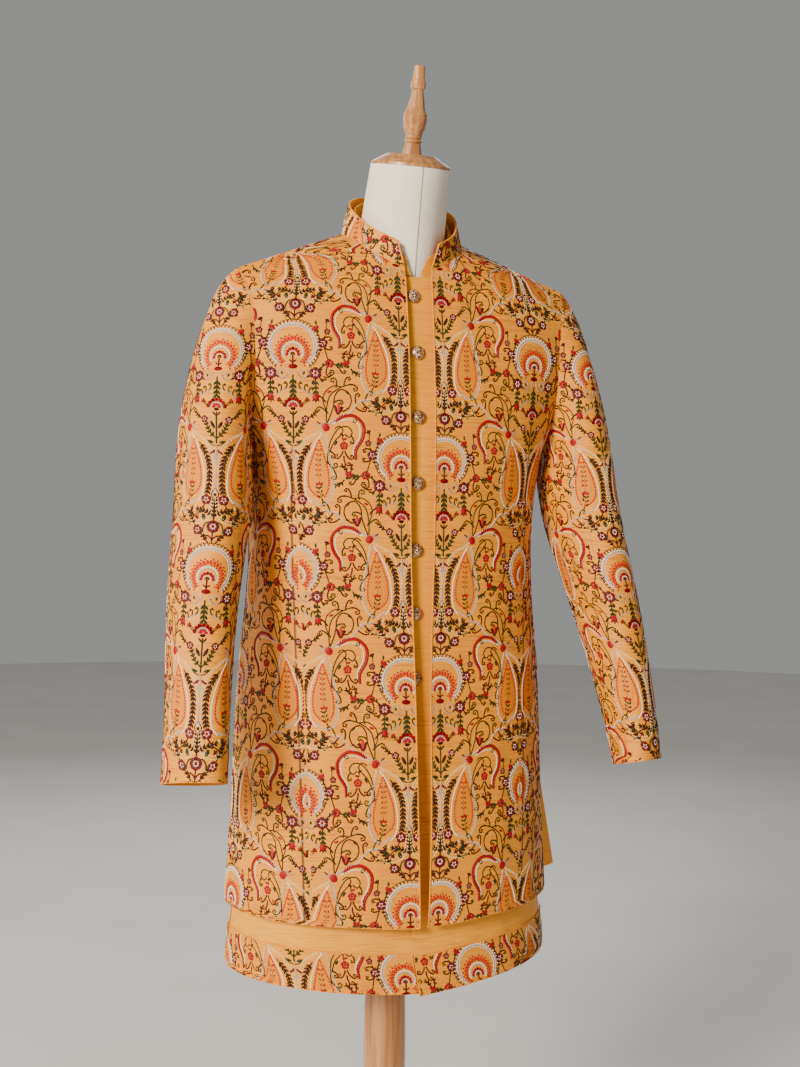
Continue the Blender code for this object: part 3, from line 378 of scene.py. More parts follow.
class ClothChart:
    # Turns a place on the cut cloth, in metres across from an edge or line and up the cloth, into a point
    # in space. A ray from outside finds each point: it aims at a centre line, and above topHeight at that
    # line's upper end.
    def __init__(self, shells, centre, topHeight, capRadius, angles, zero, lowHeight, highTilt, dart=None,
                 facing=0.05):
        vertices, faces = [], []
        for shell in shells:
            first = len(vertices)
            faces += [[i + first for i in face.vertices] for face in shell.data.polygons]
            vertices += [v.co for v in shell.data.vertices]
        self.tree = BVHTree.FromPolygons(vertices, faces)
        self.centre, self.topHeight, self.capRadius, self.dart = centre, topHeight, capRadius, dart
        self.facing, self.rear = facing, zero == 180
        count = int(abs(angles[1] - angles[0]) / chartLook["angleStep"]) + 1
        self.angles = np.radians(np.linspace(min(angles), max(angles), count))
        self.heights, self.across, self.dartAcross, rows = [], [], [], []
        radii, firstEnd, side = None, None, 1 if angles[1] > angles[0] else -1
        for height in np.arange(lowHeight, topHeight + highTilt * capRadius, chartLook["rowStep"]):
            found = [self.radius(a, height) for a in self.angles]
            hits = [i for i, r in enumerate(found) if r is not None]
            if not hits and radii is None:
                continue
            if hits:
                fresh = np.interp(range(count), hits, [found[i] for i in hits])
                if highTilt == 0 and radii is not None:
                    fresh = np.where([r is None for r in found], radii, fresh)
                radii = fresh
            if zero == "edge" and hits and height < topHeight + chartLook["edgeAbove"]:
                end = hits[0 if side > 0 else -1]
                firstEnd = end if firstEnd is None else firstEnd
                if highTilt or abs(end - firstEnd) < chartLook["edgeJump"]:
                    edgeX = self.edge(end, side, height, radii)
            # The lowest row is laid twice, first one step lower, so that the cloth's lower edge is inside.
            for level in (height,) if rows else (height - chartLook["rowStep"], height):
                points = np.array([self.point(a, level, r) for a, r in zip(self.angles, radii)])
                along = lengthsAlong(points)
                if zero == "edge":
                    start = self.alongAt(points, along, edgeX)
                else:
                    start = np.interp(math.radians(zero), self.angles, along)
                self.heights.append(level)
                self.across.append(along - start)
                rows.append(points)
                if dart:
                    lineX = (dart["foot"] + dart["lean"] * level) * (1 if edgeX > 0 or side > 0 else -1)
                    self.dartAcross.append(self.alongAt(points, along, lineX) - start)
        steps = np.linalg.norm(np.diff(np.array(rows), axis=0), axis=2)
        up = np.vstack([np.zeros(count), np.cumsum(steps, axis=0)])
        self.heights = np.array(self.heights)
        atTop = [np.interp(topHeight, self.heights, column) for column in up.T]
        self.up = up - np.array(atTop) + topHeight

    def ray(self, angle, height):
        tilt = max(0.0, (height - self.topHeight) / self.capRadius)
        way = np.array([math.cos(tilt) * math.sin(angle), -math.cos(tilt) * math.cos(angle), math.sin(tilt)])
        return self.centre(min(height, self.topHeight)), way

    def point(self, angle, height, radius):
        start, way = self.ray(angle, height)
        return start + way * radius

    def radius(self, angle, height):
        start, way = self.ray(angle, height)
        hit = self.tree.ray_cast(Vector(start + way * chartLook["reach"]), Vector(-way), chartLook["reach"])
        return chartLook["reach"] - hit[3] if hit[0] is not None else None

    def edge(self, i, side, height, radii):
        # How far aside the panel's front edge is at this height.
        on, off = self.angles[i], self.angles[i] - side * math.radians(chartLook["angleStep"])
        for _ in range(chartLook["halvings"]):
            middle = (on + off) / 2
            on, off = (middle, off) if self.radius(middle, height) is not None else (on, middle)
        return self.point(on, height, radii[i])[0]

    def alongAt(self, points, along, x):
        # The distance along a row where it is x metres aside, on its front half.
        front = abs(self.angles) < math.radians(chartLook["frontHalf"])
        return np.interp(x, points[front, 0], along[front])

    def places(self, across, up):
        # Points and outward normals on the cloth, and which of the places lie on it.
        across, rows = across.copy(), np.arange(len(self.heights))
        row = np.interp(up, self.up[:, len(self.angles) // 2], rows)
        found = np.ones(len(across), bool)
        if self.dart:
            sign = -1 if self.dartAcross[0] < 0 else 1
            line = np.interp(row, rows, self.dartAcross) * sign
            depth = np.clip((self.dart["top"] - up) / self.dart["fade"], 0, 1)
            intake = self.dart["intake"] * depth * depth * (3 - 2 * depth)
            line = line - intake / 2
            beyond = across * sign > line
            found &= ~beyond | (across * sign > line + intake)
            across = np.where(beyond, across - sign * intake, across)
        for _ in range(chartLook["turns"]):
            lower = np.clip(row.astype(int), 0, len(rows) - 2)
            share, angle = row - lower, np.zeros(len(across))
            for i in np.unique(lower):
                some = lower == i
                pair = [np.interp(across[some], self.across[k], self.angles) for k in (i, i + 1)]
                angle[some] = pair[0] * (1 - share[some]) + pair[1] * share[some]
            spot = np.interp(angle, self.angles, np.arange(len(self.angles)))
            left = np.clip(spot.astype(int), 0, len(self.angles) - 2)
            for j in np.unique(left):
                some = left == j
                pair = [np.interp(up[some], self.up[:, k], rows) for k in (j, j + 1)]
                row[some] = pair[0] * (1 - (spot - left)[some]) + pair[1] * (spot - left)[some]
        height = np.interp(row, rows, self.heights)
        edges = (angle > self.angles[0]) & (angle < self.angles[-1]) & (row > 0) & (row < rows[-1])
        points, normals = np.zeros((len(across), 3)), np.zeros((len(across), 3))
        reach = chartLook["reach"]
        for n in np.flatnonzero(found & edges):
            start, way = self.ray(angle[n], height[n])
            place, normal, _, _ = self.tree.ray_cast(Vector(start + way * reach), Vector(-way), reach)
            # Low down, the cloth's rim and the inner face of a vent's flap are left plain.
            low, facing = height[n] <= chartLook["skirtTop"], self.facing
            if low:
                facing = max(facing, chartLook["skirtFacing"])
            inside = place is None or (low and self.rear and normal.y <= chartLook["flapTurn"])
            if not inside and normal.dot(Vector(way)) > facing:
                points[n], normals[n] = place, normal
            else:
                found[n] = False
        return points, normals, found & edges


# Sizes of the stitches, in mm. Bold makes every one a little larger than it is drawn below.
stitchLook = {"step": 3.6, "rise": 0.5, "width": 1.3, "curlWidth": 1.65, "dabRise": 0.8, "lift": 0.12,
              "fillRise": 0.25, "fillSteps": 8, "bold": 1.22, "longer": 1.08, "longest": 16, "bends": 7,
              "stemPoints": 60, "rowPoints": 120}
# The columns of motifs, in mm: how far apart, and how far one reaches above and below its rosette.
repeat = {"across": 132.0, "up": 270.0, "edge": 12.0, "above": 120, "below": 190}


class FlatWork:
    def __init__(self):
        self.bm = bmesh.new()

    def grid(self, across, along, shape, colour):
        # A small grid that shape(u, w) bends: u runs along it from 0 to 1 and w across it from -1 to 1.
        made = bmesh.ops.create_grid(self.bm, x_segments=along, y_segments=across, size=0.5)
        for vertex in made["verts"]:
            vertex.co = shape(vertex.co.x + 0.5, vertex.co.y * 2)
        for face in {face for vertex in made["verts"] for face in vertex.link_faces}:
            face.material_index = threadNames.index(colour)

    def line(self, points, colour, width=None, rise=None, taper=0.0):
        # A corded line of stitches along a smooth path: flat at both sides and raised along its middle.
        width, rise = width or stitchLook["width"], rise or stitchLook["rise"]
        path = smoothPath(points)
        way = np.gradient(path, axis=0)
        way /= np.linalg.norm(way, axis=1)[:, None]
        steps = len(path) - 1

        def shape(u, w):
            i = int(round(u * steps))
            wide = width / 2 * (1 - taper * u) * stitchLook["bold"]
            x, y = path[i] + np.array([-way[i][1], way[i][0]]) * w * wide
            return x, y, rise * (1 - abs(w))

        self.grid(2, steps, shape, colour)

    def dab(self, place, length, width, angle, colour, rise=None, sides=6):
        # One padded petal: a low pointed heap of satin stitches.
        turn = Matrix.Translation((place[0], place[1], 0)) @ Matrix.Rotation(math.radians(angle), 4, "Z")
        size = length / 2 * stitchLook["longer"], width / 2 * stitchLook["bold"]
        made = bmesh.ops.create_circle(self.bm, cap_ends=True, segments=sides, radius=1.0,
                                       matrix=turn @ Matrix.Diagonal((*size, 1, 1)))
        face = made["verts"][0].link_faces[0]
        face.material_index = threadNames.index(colour)
        heap = bmesh.ops.poke(self.bm, faces=[face])
        heap["verts"][0].co.z = rise or stitchLook["dabRise"]

    def fill(self, left, right, colour):
        # Laid stitches between two outlines.
        steps = stitchLook["fillSteps"]
        left, right = smoothPath(left, steps + 1), smoothPath(right, steps + 1)

        def shape(u, w):
            i = int(round(u * steps))
            x, y = left[i] * (1 - w) / 2 + right[i] * (1 + w) / 2
            return x, y, stitchLook["lift"] + stitchLook["fillRise"] * (1 - abs(w))

        self.grid(4, steps, shape, colour)

    def finish(self, mirror=True):
        bmesh.ops.triangulate(self.bm, faces=self.bm.faces)
        self.bm.verts.index_update()
        points = np.array([v.co for v in self.bm.verts])
        faces = np.array([[v.index for v in face.verts] for face in self.bm.faces])
        colours = np.array([face.material_index for face in self.bm.faces])
        self.bm.free()
        one, two, three = (points[faces[:, i]] for i in range(3))
        facing = np.cross(two - one, three - one)[:, 2]
        faces[facing < 0] = faces[facing < 0][:, ::-1]
        if mirror:
            flipped = points * (-1, 1, 1)
            faces = np.vstack([faces, faces[:, ::-1] + len(points)])
            points = np.vstack([points, flipped])
            colours = np.concatenate([colours, colours])
        return {"points": points, "faces": faces, "colours": colours}


def smoothPath(points, count=None):
    # A smooth curve through the points, with a point every stitch step or count points in all.
    points = np.array(points, float)
    padded = np.vstack([2 * points[0] - points[1], points, 2 * points[-1] - points[-2]])
    share = np.linspace(0, 1, stitchLook["bends"])[:, None]
    curve = [points[:1]]
    for a, b, c, d in zip(padded, padded[1:], padded[2:], padded[3:]):
        bend = 2 * b + (c - a) * share
        bend = bend + (2 * a - 5 * b + 4 * c - d) * share**2 + (3 * b - a - 3 * c + d) * share**3
        curve.append(bend[1:] / 2)
    curve = np.vstack(curve)
    along = lengthsAlong(curve)
    count = count or max(2, int(round(along[-1] / stitchLook["step"])) + 1)
    even = np.linspace(0, along[-1], count)
    return np.column_stack([np.interp(even, along, curve[:, 0]), np.interp(even, along, curve[:, 1])])


def onCircle(centre, radius, angle, squash=1.0):
    a = math.radians(angle)
    return centre[0] + radius * math.cos(a), centre[1] + radius * squash * math.sin(a)


def drawEach(work, shape, rows, place=lambda x, y: (x, y)):
    # Draws a shape once for each row. A pair of numbers is a place and a list of pairs is a path.
    def placed(value):
        if isinstance(value, list):
            return [place(*spot) for spot in value]
        return place(*value) if isinstance(value, tuple) else value

    for row in rows:
        shape(work, *map(placed, row))


def curl(work, start, end, size, colour, side=1):
    # A stem that ends in a small spiral.
    start, end, size = np.array(start, float), np.array(end, float), size * 1.25
    way = (end - start) / np.linalg.norm(end - start)
    aside = np.array([-way[1], way[0]]) * side
    middle = end + aside * size
    spiral = []
    for turn in np.arange(0, 7.9, 0.72):
        shrink = size * (1 - 0.1 * turn)
        spiral.append(middle + shrink * (way * math.sin(turn) - aside * math.cos(turn)))
    work.line([start, (start + end) / 2 - aside * size * 0.2, *spiral], colour, stitchLook["curlWidth"])


def bloom(work, place, size, petal="plum", inner="silver", heart="crimson", petals=5):
    # A round flower seen from above: padded petals, a pale ring and a heart.
    turns = [90 + 360 / petals * n / 2 for n in range(2 * petals)]
    for angle in turns[::2]:
        work.dab(onCircle(place, size * 0.34, angle), size * 0.36, size * 0.42, angle, petal)
    for angle in turns[1::2]:
        work.dab(onCircle(place, size * 0.2, angle), size * 0.2, size * 0.12, angle, inner, 1.0, 4)
    work.dab(place, size * 0.24, size * 0.24, 0, heart, 1.3)


def bud(work, place, size, angle, colour="crimson"):
    # A closed flower: three petals in a fan over a small green cup.
    for spread in (-48, 0, 48):
        centre = onCircle(place, size * 0.28, angle + spread)
        work.dab(centre, size * 0.6, size * 0.36, angle + spread, colour)
    work.dab(onCircle(place, size * 0.18, angle + 180), size * 0.34, size * 0.3, angle, "olive", 0.9)


def fanFlower(work, place, size, angle=90):
    # A half-round carnation: crimson scallops, a pale band, a pink heart and a green cup.
    for n in range(7):
        turn = angle - 78 + 26 * n
        work.dab(onCircle(place, size * 0.44, turn), size * 0.24, size * 0.21, turn, "crimson")
    band = [onCircle(place, size * 0.31, angle + a) for a in (-88, -44, 0, 44, 88)]
    work.line(band, "silver", 1.3)
    for n in range(5):
        turn = angle - 70 + 35 * n
        work.dab(onCircle(place, size * 0.17, turn), size * 0.24, size * 0.13, turn, "pink")
    work.dab(onCircle(place, size * 0.08, angle + 180), size * 0.18, size * 0.26, angle, "maroon")


def leaf(work, place, length, angle, colour="olive", width=0.42):
    work.dab(onCircle(place, length / 2, angle), length, length * width, angle, colour)


def leafyStem(work, points, colour, leafColour, leafLength, gap, both=True, width=1.6, spread=42):
    # A stem with a pair of slanting leaves at every gap.
    work.line(points, colour, width)
    path = smoothPath(points, stitchLook["stemPoints"])
    along, last = lengthsAlong(path), len(path) - 1
    for n, place in enumerate(np.arange(gap, along[-1] + 0.1, gap)):
        i = int(np.interp(place, along, range(len(path))))
        way = path[min(i + 1, last)] - path[max(i - 1, 0)]
        heading = math.degrees(math.atan2(way[1], way[0]))
        for side in ((1, -1) if both else (1 if n % 2 else -1,)):
            leaf(work, path[i], leafLength, heading + side * spread, leafColour)


def dabRow(work, path, colour, length, width, gap, lean=0, rise=None, sides=4):
    # Separate stitches along a path, each turned by lean from the path's way.
    path = smoothPath(path, stitchLook["rowPoints"])
    along = lengthsAlong(path)
    for place in np.arange(gap / 2, along[-1], gap):
        i = min(int(np.interp(place, along, range(len(path)))), len(path) - 2)
        way = path[i + 1] - path[i]
        work.dab(path[i], length, width, math.degrees(math.atan2(way[1], way[0])) + lean, colour, rise, sides)


def rosette(work):
    # Right half of the round flower: ticks, a beaded ring, orange petals, a pale ring and a carnation inside.
    def arc(radius, end, centre=(0, 0), squash=0.97):
        return [onCircle(centre, radius, a, squash) for a in np.linspace(90, end, 7)]

    work.line(arc(27.4, -50), "lilac", 3.2, 0.35)
    dabRow(work, arc(28.6, -52), "silver", 2.5, 2.0, 2.6, 0, 1.0, 6)
    dabRow(work, arc(25.4, -48), "silver", 1.9, 1.3, 2.4, 0, 0.9)
    for n in range(17):
        angle = 85 - 8.4 * n
        foot, tip = onCircle((0, 0), 30, angle, 0.97), onCircle((0, 0), 34.5, angle - 3, 0.97)
        work.line([foot, tip], "brown" if n % 3 else "plum", 1.2)
        work.dab(onCircle((0, 0), 33.2, angle + 1.4, 0.97), 2.6, 1.9, angle + 40, "olive", 0.7, 4)
        work.dab(onCircle((0, 0), 31.4, angle - 3.4, 0.97), 2.0, 1.5, angle, "silver", 0.8, 4)
    middle = (0, -8)
    for n in range(10):
        angle = 84 - 14 * n
        work.dab(onCircle(middle, 17.6, angle), 5.8, 3.7, angle, "orange", 1.0)
        work.dab(onCircle(middle, 21.4, angle - 7), 3.0, 2.2, angle - 7, "crimson", 0.8, 4)
        work.dab(onCircle(middle, 14.6, angle - 7), 2.6, 1.5, angle - 7, "maroon", 0.7, 4)
    dabRow(work, arc(12.2, -38, middle, 1), "silver", 2.3, 2.0, 2.4, 0, 0.9, 6)
    work.line(arc(9.9, -32, middle, 1), "lilac", 1.2)
    for n in range(4):
        angle = 90 - 30 * n
        for reach, length, width, turn, colour, rise, sides in (
                (7.0, 4.4, 3.9, 0, "crimson", 1.1, 6), (4.4, 2.6, 1.4, -15, "silver", 1.0, 4),
                (2.2, 2.6, 1.5, 0, "maroon", 1.0, 4)):
            turn += angle
            work.dab(onCircle((0, -10.5), reach, turn), length, width, turn, colour, rise, sides)
    work.line([(0.1, -10), (0.1, -22)], "maroon", 1.6)
    leaf(work, (0.6, -20), 5, 40, "maroon", 0.35)
    work.dab((0, -25), 11, 5.2, 0, "crimson", 1.1, 8)
    scroll = [(3, -28), (5, -35), (11, -40), (17, -37), (17, -30), (12, -28), (9.5, -32), (12, -35)]
    work.line(scroll, "lilac", 1.4)
    dabRow(work, [(6, -33), (9, -38), (14, -39.5), (18.5, -36), (18.5, -30)], "brown", 2.0, 1.1, 2.6, 70)
    work.dab((13.2, -33), 4.6, 2.4, 70, "olive")


def paisley(work, head):
    # The large leaf to the right of the axis, with its head at the top: x is counted towards the axis.
    def at(*places):
        return [(head[0] - x, head[1] + y) for x, y in places]

    def spot(x, y):
        return head[0] - x, head[1] + y

    work.dab(head, 9.4, 9.4, 45, "crimson", 1.4, 8)
    left = at((8.3, -15), (2, -34), (-3.2, -54), (-3.6, -72), (2, -86))
    right = at((8.3, -15), (15, -34), (20.6, -54), (19.4, -74), (5, -87))
    work.fill(left, right, "peach")
    for side in (left, right):
        dabRow(work, side, "orange", 3.2, 2.3, 3.3, 18, 1.0, 6)
    dabRow(work, at((5, -62), (5.4, -50), (7, -36)), "maroon", 2.6, 1.5, 6.2, 70)
    # The pale band round the drop, and the long outer contour that turns back under it.
    band = at((2, -7), (-3, -30), (-8, -54), (-8.6, -74), (-2, -90), (8, -94), (18, -87))
    work.line(band, "lilac", 1.5)
    dabRow(work, [(x + 1.5, y) for x, y in band], "silver", 2.4, 1.3, 3.0, 35, 0.8)
    contour = at((3, -3), (20, -12), (31, -22), (38.6, -48), (38.4, -90), (31, -113), (8, -117), (-3, -104))
    work.line(contour, "cream", 1.2)
    beads = at((5, -6), (20, -14), (29, -24), (36.4, -48), (36, -88), (29, -110), (10, -114))
    dabRow(work, beads, "silver", 2.2, 1.1, 3.6, 30, 0.8)
    # The thick serrated scroll on the far side.
    scroll = at((-12, 7), (-21, 13.5), (-35, 14), (-46, 3), (-45, -13), (-37, -27), (-36.5, -39))
    work.line(scroll, "crimson", 3.8, 1.0, 0.3)
    dabRow(work, [(x - 1.7, y + 0.6) for x, y in scroll], "maroon", 2.6, 1.7, 2.5, 55, 1.1)
    for turn, length, colour in ((110, 13, "maroon"), (88, 15, "orange"), (66, 12, "maroon")):
        leaf(work, spot(-15, 15), length, turn, colour, 0.28)
    diagonal = at((-3, 4), (-18, 12), (-30, 18), (-41, 31), (-56, 34))
    work.line(diagonal, "lilac", 1.5)
    dabRow(work, [(x, y + 1.5) for x, y in diagonal], "silver", 2.4, 1.2, 3.2, 30, 0.8)
    for x, y in ((4, 5), (8, 2), (6, -3)):
        work.line(at((1, 1), (x, y + 1), (x + 6, y)), "lilac", 1.1)
    # The fern, the tendrils inside the scroll, and the branches that rise above the head and cross.
    drawEach(work, FlatWork.line, [
        ([(5, -8), (14, -22), (23, -44), (25.6, -66), (23.5, -82), (17, -91)], "silver", 1.3),
        ([(28, -93), (20, -104), (8, -113)], "maroon", 1.4),
        ([(16, -100), (11, -96), (9.5, -103), (14, -107)], "brown", 1.1),
        ([(-8, 4), (-21, 9), (-33, 9.5), (-41, 2), (-41, -12), (-34, -25), (-34, -34)], "silver", 1.1),
        ([(-2, -44), (-3, -30), (-7, -14), (-16, -1), (-27, 1), (-32, -6), (-28, -12), (-23, -8)],
         "olive", 1.4),
        ([(-4, -32), (-10, -18), (-18, -9), (-21, -3), (-16, 2), (-11, -2)], "brown", 1.3),
        ([(-20, -9), (-21, -16)], "olive", 1.2),
        ([(-1, 6), (-1, 22), (-5, 38), (-17, 48), (-31, 53)], "olive", 1.4),
        ([(-2, 5), (-9, 24), (-11, 38), (-18, 46), (-28, 42), (-31, 32), (-27, 22)], "brown", 1.4),
        ([(-3, 16), (3, 30), (1, 42), (-9, 50), (-20, 49)], "brown", 1.2),
    ], spot)
    drawEach(work, leafyStem, [
        ([(8, -66), (9, -50), (8.4, -26)], "maroon", "crimson", 6.0, 6.2, True, 1.3),
        ([(3, -90), (6, -82), (7.6, -74)], "olive", "olive", 7.0, 5.2),
        ([(17, -19), (26, -31), (31.4, -47), (31.8, -68), (30, -81)], "brown", "brown", 6.2, 4.8, True,
         1.3, 36),
    ], spot)
    drawEach(work, curl, [
        ((-2, -40), (-8, -48), 3.4, "olive", 1), ((-7, -48), (-13, -58), 3.2, "olive", -1),
        ((-3, -28), (-10, -32), 2.8, "brown", -1), ((-30, -9), (-34, -16), 2.6, "brown", -1),
        ((-21, -28), (-17, -36), 3.0, "maroon", -1), ((-23, -28), (-28, -37), 3.0, "brown", 1),
        ((-22, -34), (-24, -44), 2.8, "maroon", 1), ((-29, 52), (-36, 51), 3.2, "brown", -1),
        ((-12, 48), (-13, 56), 3.4, "olive", 1), ((-22, 51), (-25, 60), 2.6, "brown", -1),
        ((-27, 24), (-22, 20), 2.8, "brown", -1), ((-10, 30), (-17, 33), 2.8, "olive", -1),
        ((-1, 18), (6, 24), 3.0, "olive", 1), ((0, 30), (8, 38), 3.0, "brown", 1),
        ((-26, 16), (-36, 12), 2.8, "olive", -1), ((-36, 25), (-45, 20), 3.0, "maroon", 1),
        ((-37, 29), (-36, 39), 2.8, "brown", -1), ((-48, 33), (-52, 43), 2.8, "olive", -1),
        ((-53, 34), (-61, 32), 2.8, "maroon", 1), ((-44, 32), (-50, 25), 2.4, "brown", 1),
    ], spot)
    drawEach(work, leaf, [
        ((24, -98), 8, 285, "olive"), ((14, -108), 10, 25, "olive", 0.5), ((13, -101), 6, 110, "cream", 0.5),
        ((-14, -16), 7, 240, "olive"), ((-26, -13), 6, 200, "crimson"), ((-17, -7), 6, 330, "maroon", 0.4),
        ((-7, 44), 6, 200, "crimson", 0.45), ((-24, 44), 6, 320, "olive", 0.45),
        ((6, 4), 6, 150, "plum", 0.35),
    ], spot)
    drawEach(work, bloom, [
        ((29, -88), 13, "plum", "silver", "crimson"), ((-22, -22), 10.5, "crimson", "pink", "maroon"),
    ], spot)
    drawEach(work, bud, [
        ((7.6, -71), 12.5, 92, "crimson"), ((19, -109), 6.5, 300, "maroon"),
    ], spot)


def sideVines(work):
    # Flowers and buds that fill the ground beside the rosette.
    for n in range(3):
        leaf(work, (27.5, -62), 7, 230 + 40 * n, "brown", 0.3)
    for x, y, end in ((10, -53, (7, -47)), (15, -55, (14, -49)), (19, -58, (20, -52))):
        curl(work, (x, y), end, 2.2, "olive", -1)
    drawEach(work, FlatWork.line, [
        ([(43, -19), (40, -8), (36, 3), (31, 12), (28, 20)], "brown", 1.3),
        ([(36, 8), (39, 14)], "brown", 1.0), ([(7, -52), (13, -54), (18, -57), (23, -62)], "lilac", 1.5),
        ([(40, 29), (39.5, 22)], "brown", 1.0),
    ])
    drawEach(work, FlatWork.dab, [
        ((27.5, -62), 8.4, 8.4, 0, "crimson", 1.3, 8),
    ])
    drawEach(work, leafyStem, [
        ([(27, -31), (34, -26), (43, -19)], "olive", "brown", 4.6, 5.5, False),
        ([(48, -21), (54, -22.5), (61, -22)], "olive", "olive", 5.4, 4.4),
        ([(66, -18), (69, -12), (73, -9)], "brown", "brown", 4.2, 3.6),
        ([(63, -18), (61, -12), (62, -7)], "maroon", "brown", 3.8, 4.2),
        ([(27, -38), (27.5, -48), (27.5, -58)], "olive", "olive", 5.6, 5.4),
        ([(70, -26), (74, -31), (80, -33)], "brown", "olive", 4.6, 4.0),
        ([(4, 32), (9, 38), (15, 44)], "brown", "brown", 4.6, 4.8),
        ([(22, 51), (28, 60), (34, 69)], "brown", "brown", 5.4, 4.6),
        ([(25, 55), (33, 56), (40, 59)], "olive", "brown", 4.2, 4.4, False),
    ])
    drawEach(work, curl, [
        ((38, -2), (45, -4), 2.4, "brown", 1), ((31, -37), (36, -41), 2.6, "maroon", 1),
        ((37, 10), (44, 12), 2.6, "brown", -1), ((36, -4), (29, -6), 2.6, "brown", 1),
        ((42, -24), (40, -33), 2.8, "maroon", 1), ((56, -24), (59, -31), 2.6, "brown", 1),
        ((12, 44), (10, 54), 3.2, "olive", 1), ((41, -38), (48, -34), 2.8, "olive", 1),
    ])
    drawEach(work, leaf, [
        ((33, -39), 6, 300, "olive"), ((21, -36), 6, 200, "brown"), ((25, -41), 6, 250, "maroon"),
        ((27, 26), 6, 95, "olive", 0.4), ((11, 59), 8.5, 75, "olive", 0.55),
    ])
    drawEach(work, bloom, [
        ((36, 4), 12.5), ((41, 18.5), 8, "plum", "lilac", "plum"),
        ((44, -20.5), 11, "crimson", "pink", "maroon"), ((27, -33), 15, "plum", "silver", "crimson", 6),
        ((19, 47), 12.5, "plum", "silver", "plum"),
    ])
    drawEach(work, bud, [
        ((28, 20), 11, 130), ((65.5, -22), 12, 120, "crimson"), ((40, 31), 7, 60, "maroon"),
    ])


def axisString(work):
    # The string down the column's middle. Only its right half is drawn: the mirror makes the rest.
    for angle in (90, 45, 0, -45, -88):
        place = onCircle((0, 52), 5.2, angle)
        work.dab(place, 5.4, 5.8, angle, "plum")
        work.dab(onCircle((0, 52), 3.0, angle), 2.6, 1.8, angle, "silver", 1.2, 4)
    fanFlower(work, (0, -74), 23)
    for n in range(2):
        work.line([(8, -73), (14, -70 + 3 * n), (17, -67 + 5 * n)], "olive", 1.1)
    drawEach(work, FlatWork.line, [
        ([(0.1, 31), (0.1, 45)], "brown", 1.2), ([(1, 86), (4.6, 90), (0.2, 98)], "brown", 1.2),
        ([(0.1, -79), (0.1, -100), (0.1, -118)], "olive", 1.6),
        ([(0.2, -121), (7, -119), (11, -114)], "olive", 1.2),
        ([(0.1, -118), (0.1, -140), (0.1, -172)], "lilac", 1.7),
    ])
    drawEach(work, FlatWork.dab, [
        ((0, 52), 3.6, 3.6, 0, "crimson", 1.5), ((0, 90), 7, 3.2, 90, "maroon"),
        ((0, -175), 6, 4, 90, "silver"),
    ])
    drawEach(work, leafyStem, [
        ([(0.1, 60), (0.1, 72), (0.1, 86)], "brown", "brown", 5.6, 4.4),
        ([(0.4, 64), (10, 70), (23, 72)], "brown", "brown", 5.0, 4.2),
        ([(0.1, -35), (0.1, -46), (0.1, -58)], "olive", "olive", 7.0, 5.6, True, 1.6, 36),
        ([(0.1, -112), (8, -104), (13, -93)], "olive", "olive", 5.2, 5.0),
        ([(18, -87), (24, -84), (28, -79)], "olive", "brown", 4.2, 3.8),
    ])
    drawEach(work, curl, [
        ((0.2, 36), (5, 41), 2.4, "maroon", -1),
    ])
    drawEach(work, leaf, [
        ((2, -100), 11, 62, "brown", 0.34), ((0.5, -84), 7, 50, "brown", 0.3),
        ((3, -117), 9, 10, "olive", 0.4), ((1, -126), 9, 320, "plum", 0.36),
        ((0.5, -133), 7, 310, "lilac", 0.36),
    ])
    drawEach(work, bloom, [
        ((15, -88.5), 9.5, "plum", "silver", "plum"),
    ])
    drawEach(work, bud, [
        ((17, -66), 6.5, 30, "crimson"),
    ])


def columnWork():
    work = FlatWork()
    rosette(work)
    paisley(work, (39.4, -98))
    sideVines(work)
    axisString(work)
    return work.finish()


class LaidWork:
    # Gathers flat work laid on the cloth of one piece.
    def __init__(self):
        self.points, self.faces, self.colours, self.count = [], [], [], 0

    def lay(self, chart, flat, across, up):
        x, y = ((flat["points"][:, :2] + (across, up)) * mm).T
        places, normals, found = chart.places(x, y)
        places += normals * (flat["points"][:, 2:] * mm)
        faces = flat["faces"]
        whole = found[faces].all(axis=1)
        sides = places[faces] - places[np.roll(faces, 1, axis=1)]
        whole &= (np.linalg.norm(sides, axis=2) < stitchLook["longest"] * mm).all(axis=1)
        used, kept = np.unique(faces[whole], return_inverse=True)
        self.points.append(places[used])
        self.faces.append(kept.reshape(-1, 3) + self.count)
        self.colours.append(flat["colours"][whole])
        self.count += len(used)

    def finish(self, name):
        points, faces = np.vstack(self.points), np.vstack(self.faces)
        mesh = bpy.data.meshes.new(name)
        mesh.from_pydata(points.tolist(), [], faces.tolist())
        made = finishedPiece(name, mesh, threads, "embroidered_silk")
        mesh.polygons.foreach_set("material_index", np.concatenate(self.colours).astype(np.int32))
        mesh.update()
        print("embroidery", name, len(faces), "triangles")
        return made


makeCamera()
makeStudio()
print("stage: camera and studio")

# A line on each front, with its x at the floor's height, the cloth that the dart takes up, and the colour of
# the painted shade in its crease.
dart = {"foot": 0.124, "lean": 0.0277, "top": 1.21, "fade": 0.13, "intake": 0.017, "halfWidth": 2.2 * mm,
        "start": 0.04, "depth": -2.5, "shade": "#5A2C04"}
coatSilk, frontSilk = silkMaterial("coatSilk"), silkMaterial("coatSilk_darted", dart)
innerSilk, jersey, casting = silkMaterial("innerSilk"), jerseyMaterial(), castMaterial()
threads = [threadMaterial(name) for name in threadNames]
wood, baseWood = woodMaterial("turnedBeech"), woodMaterial("turnedBeech_board")

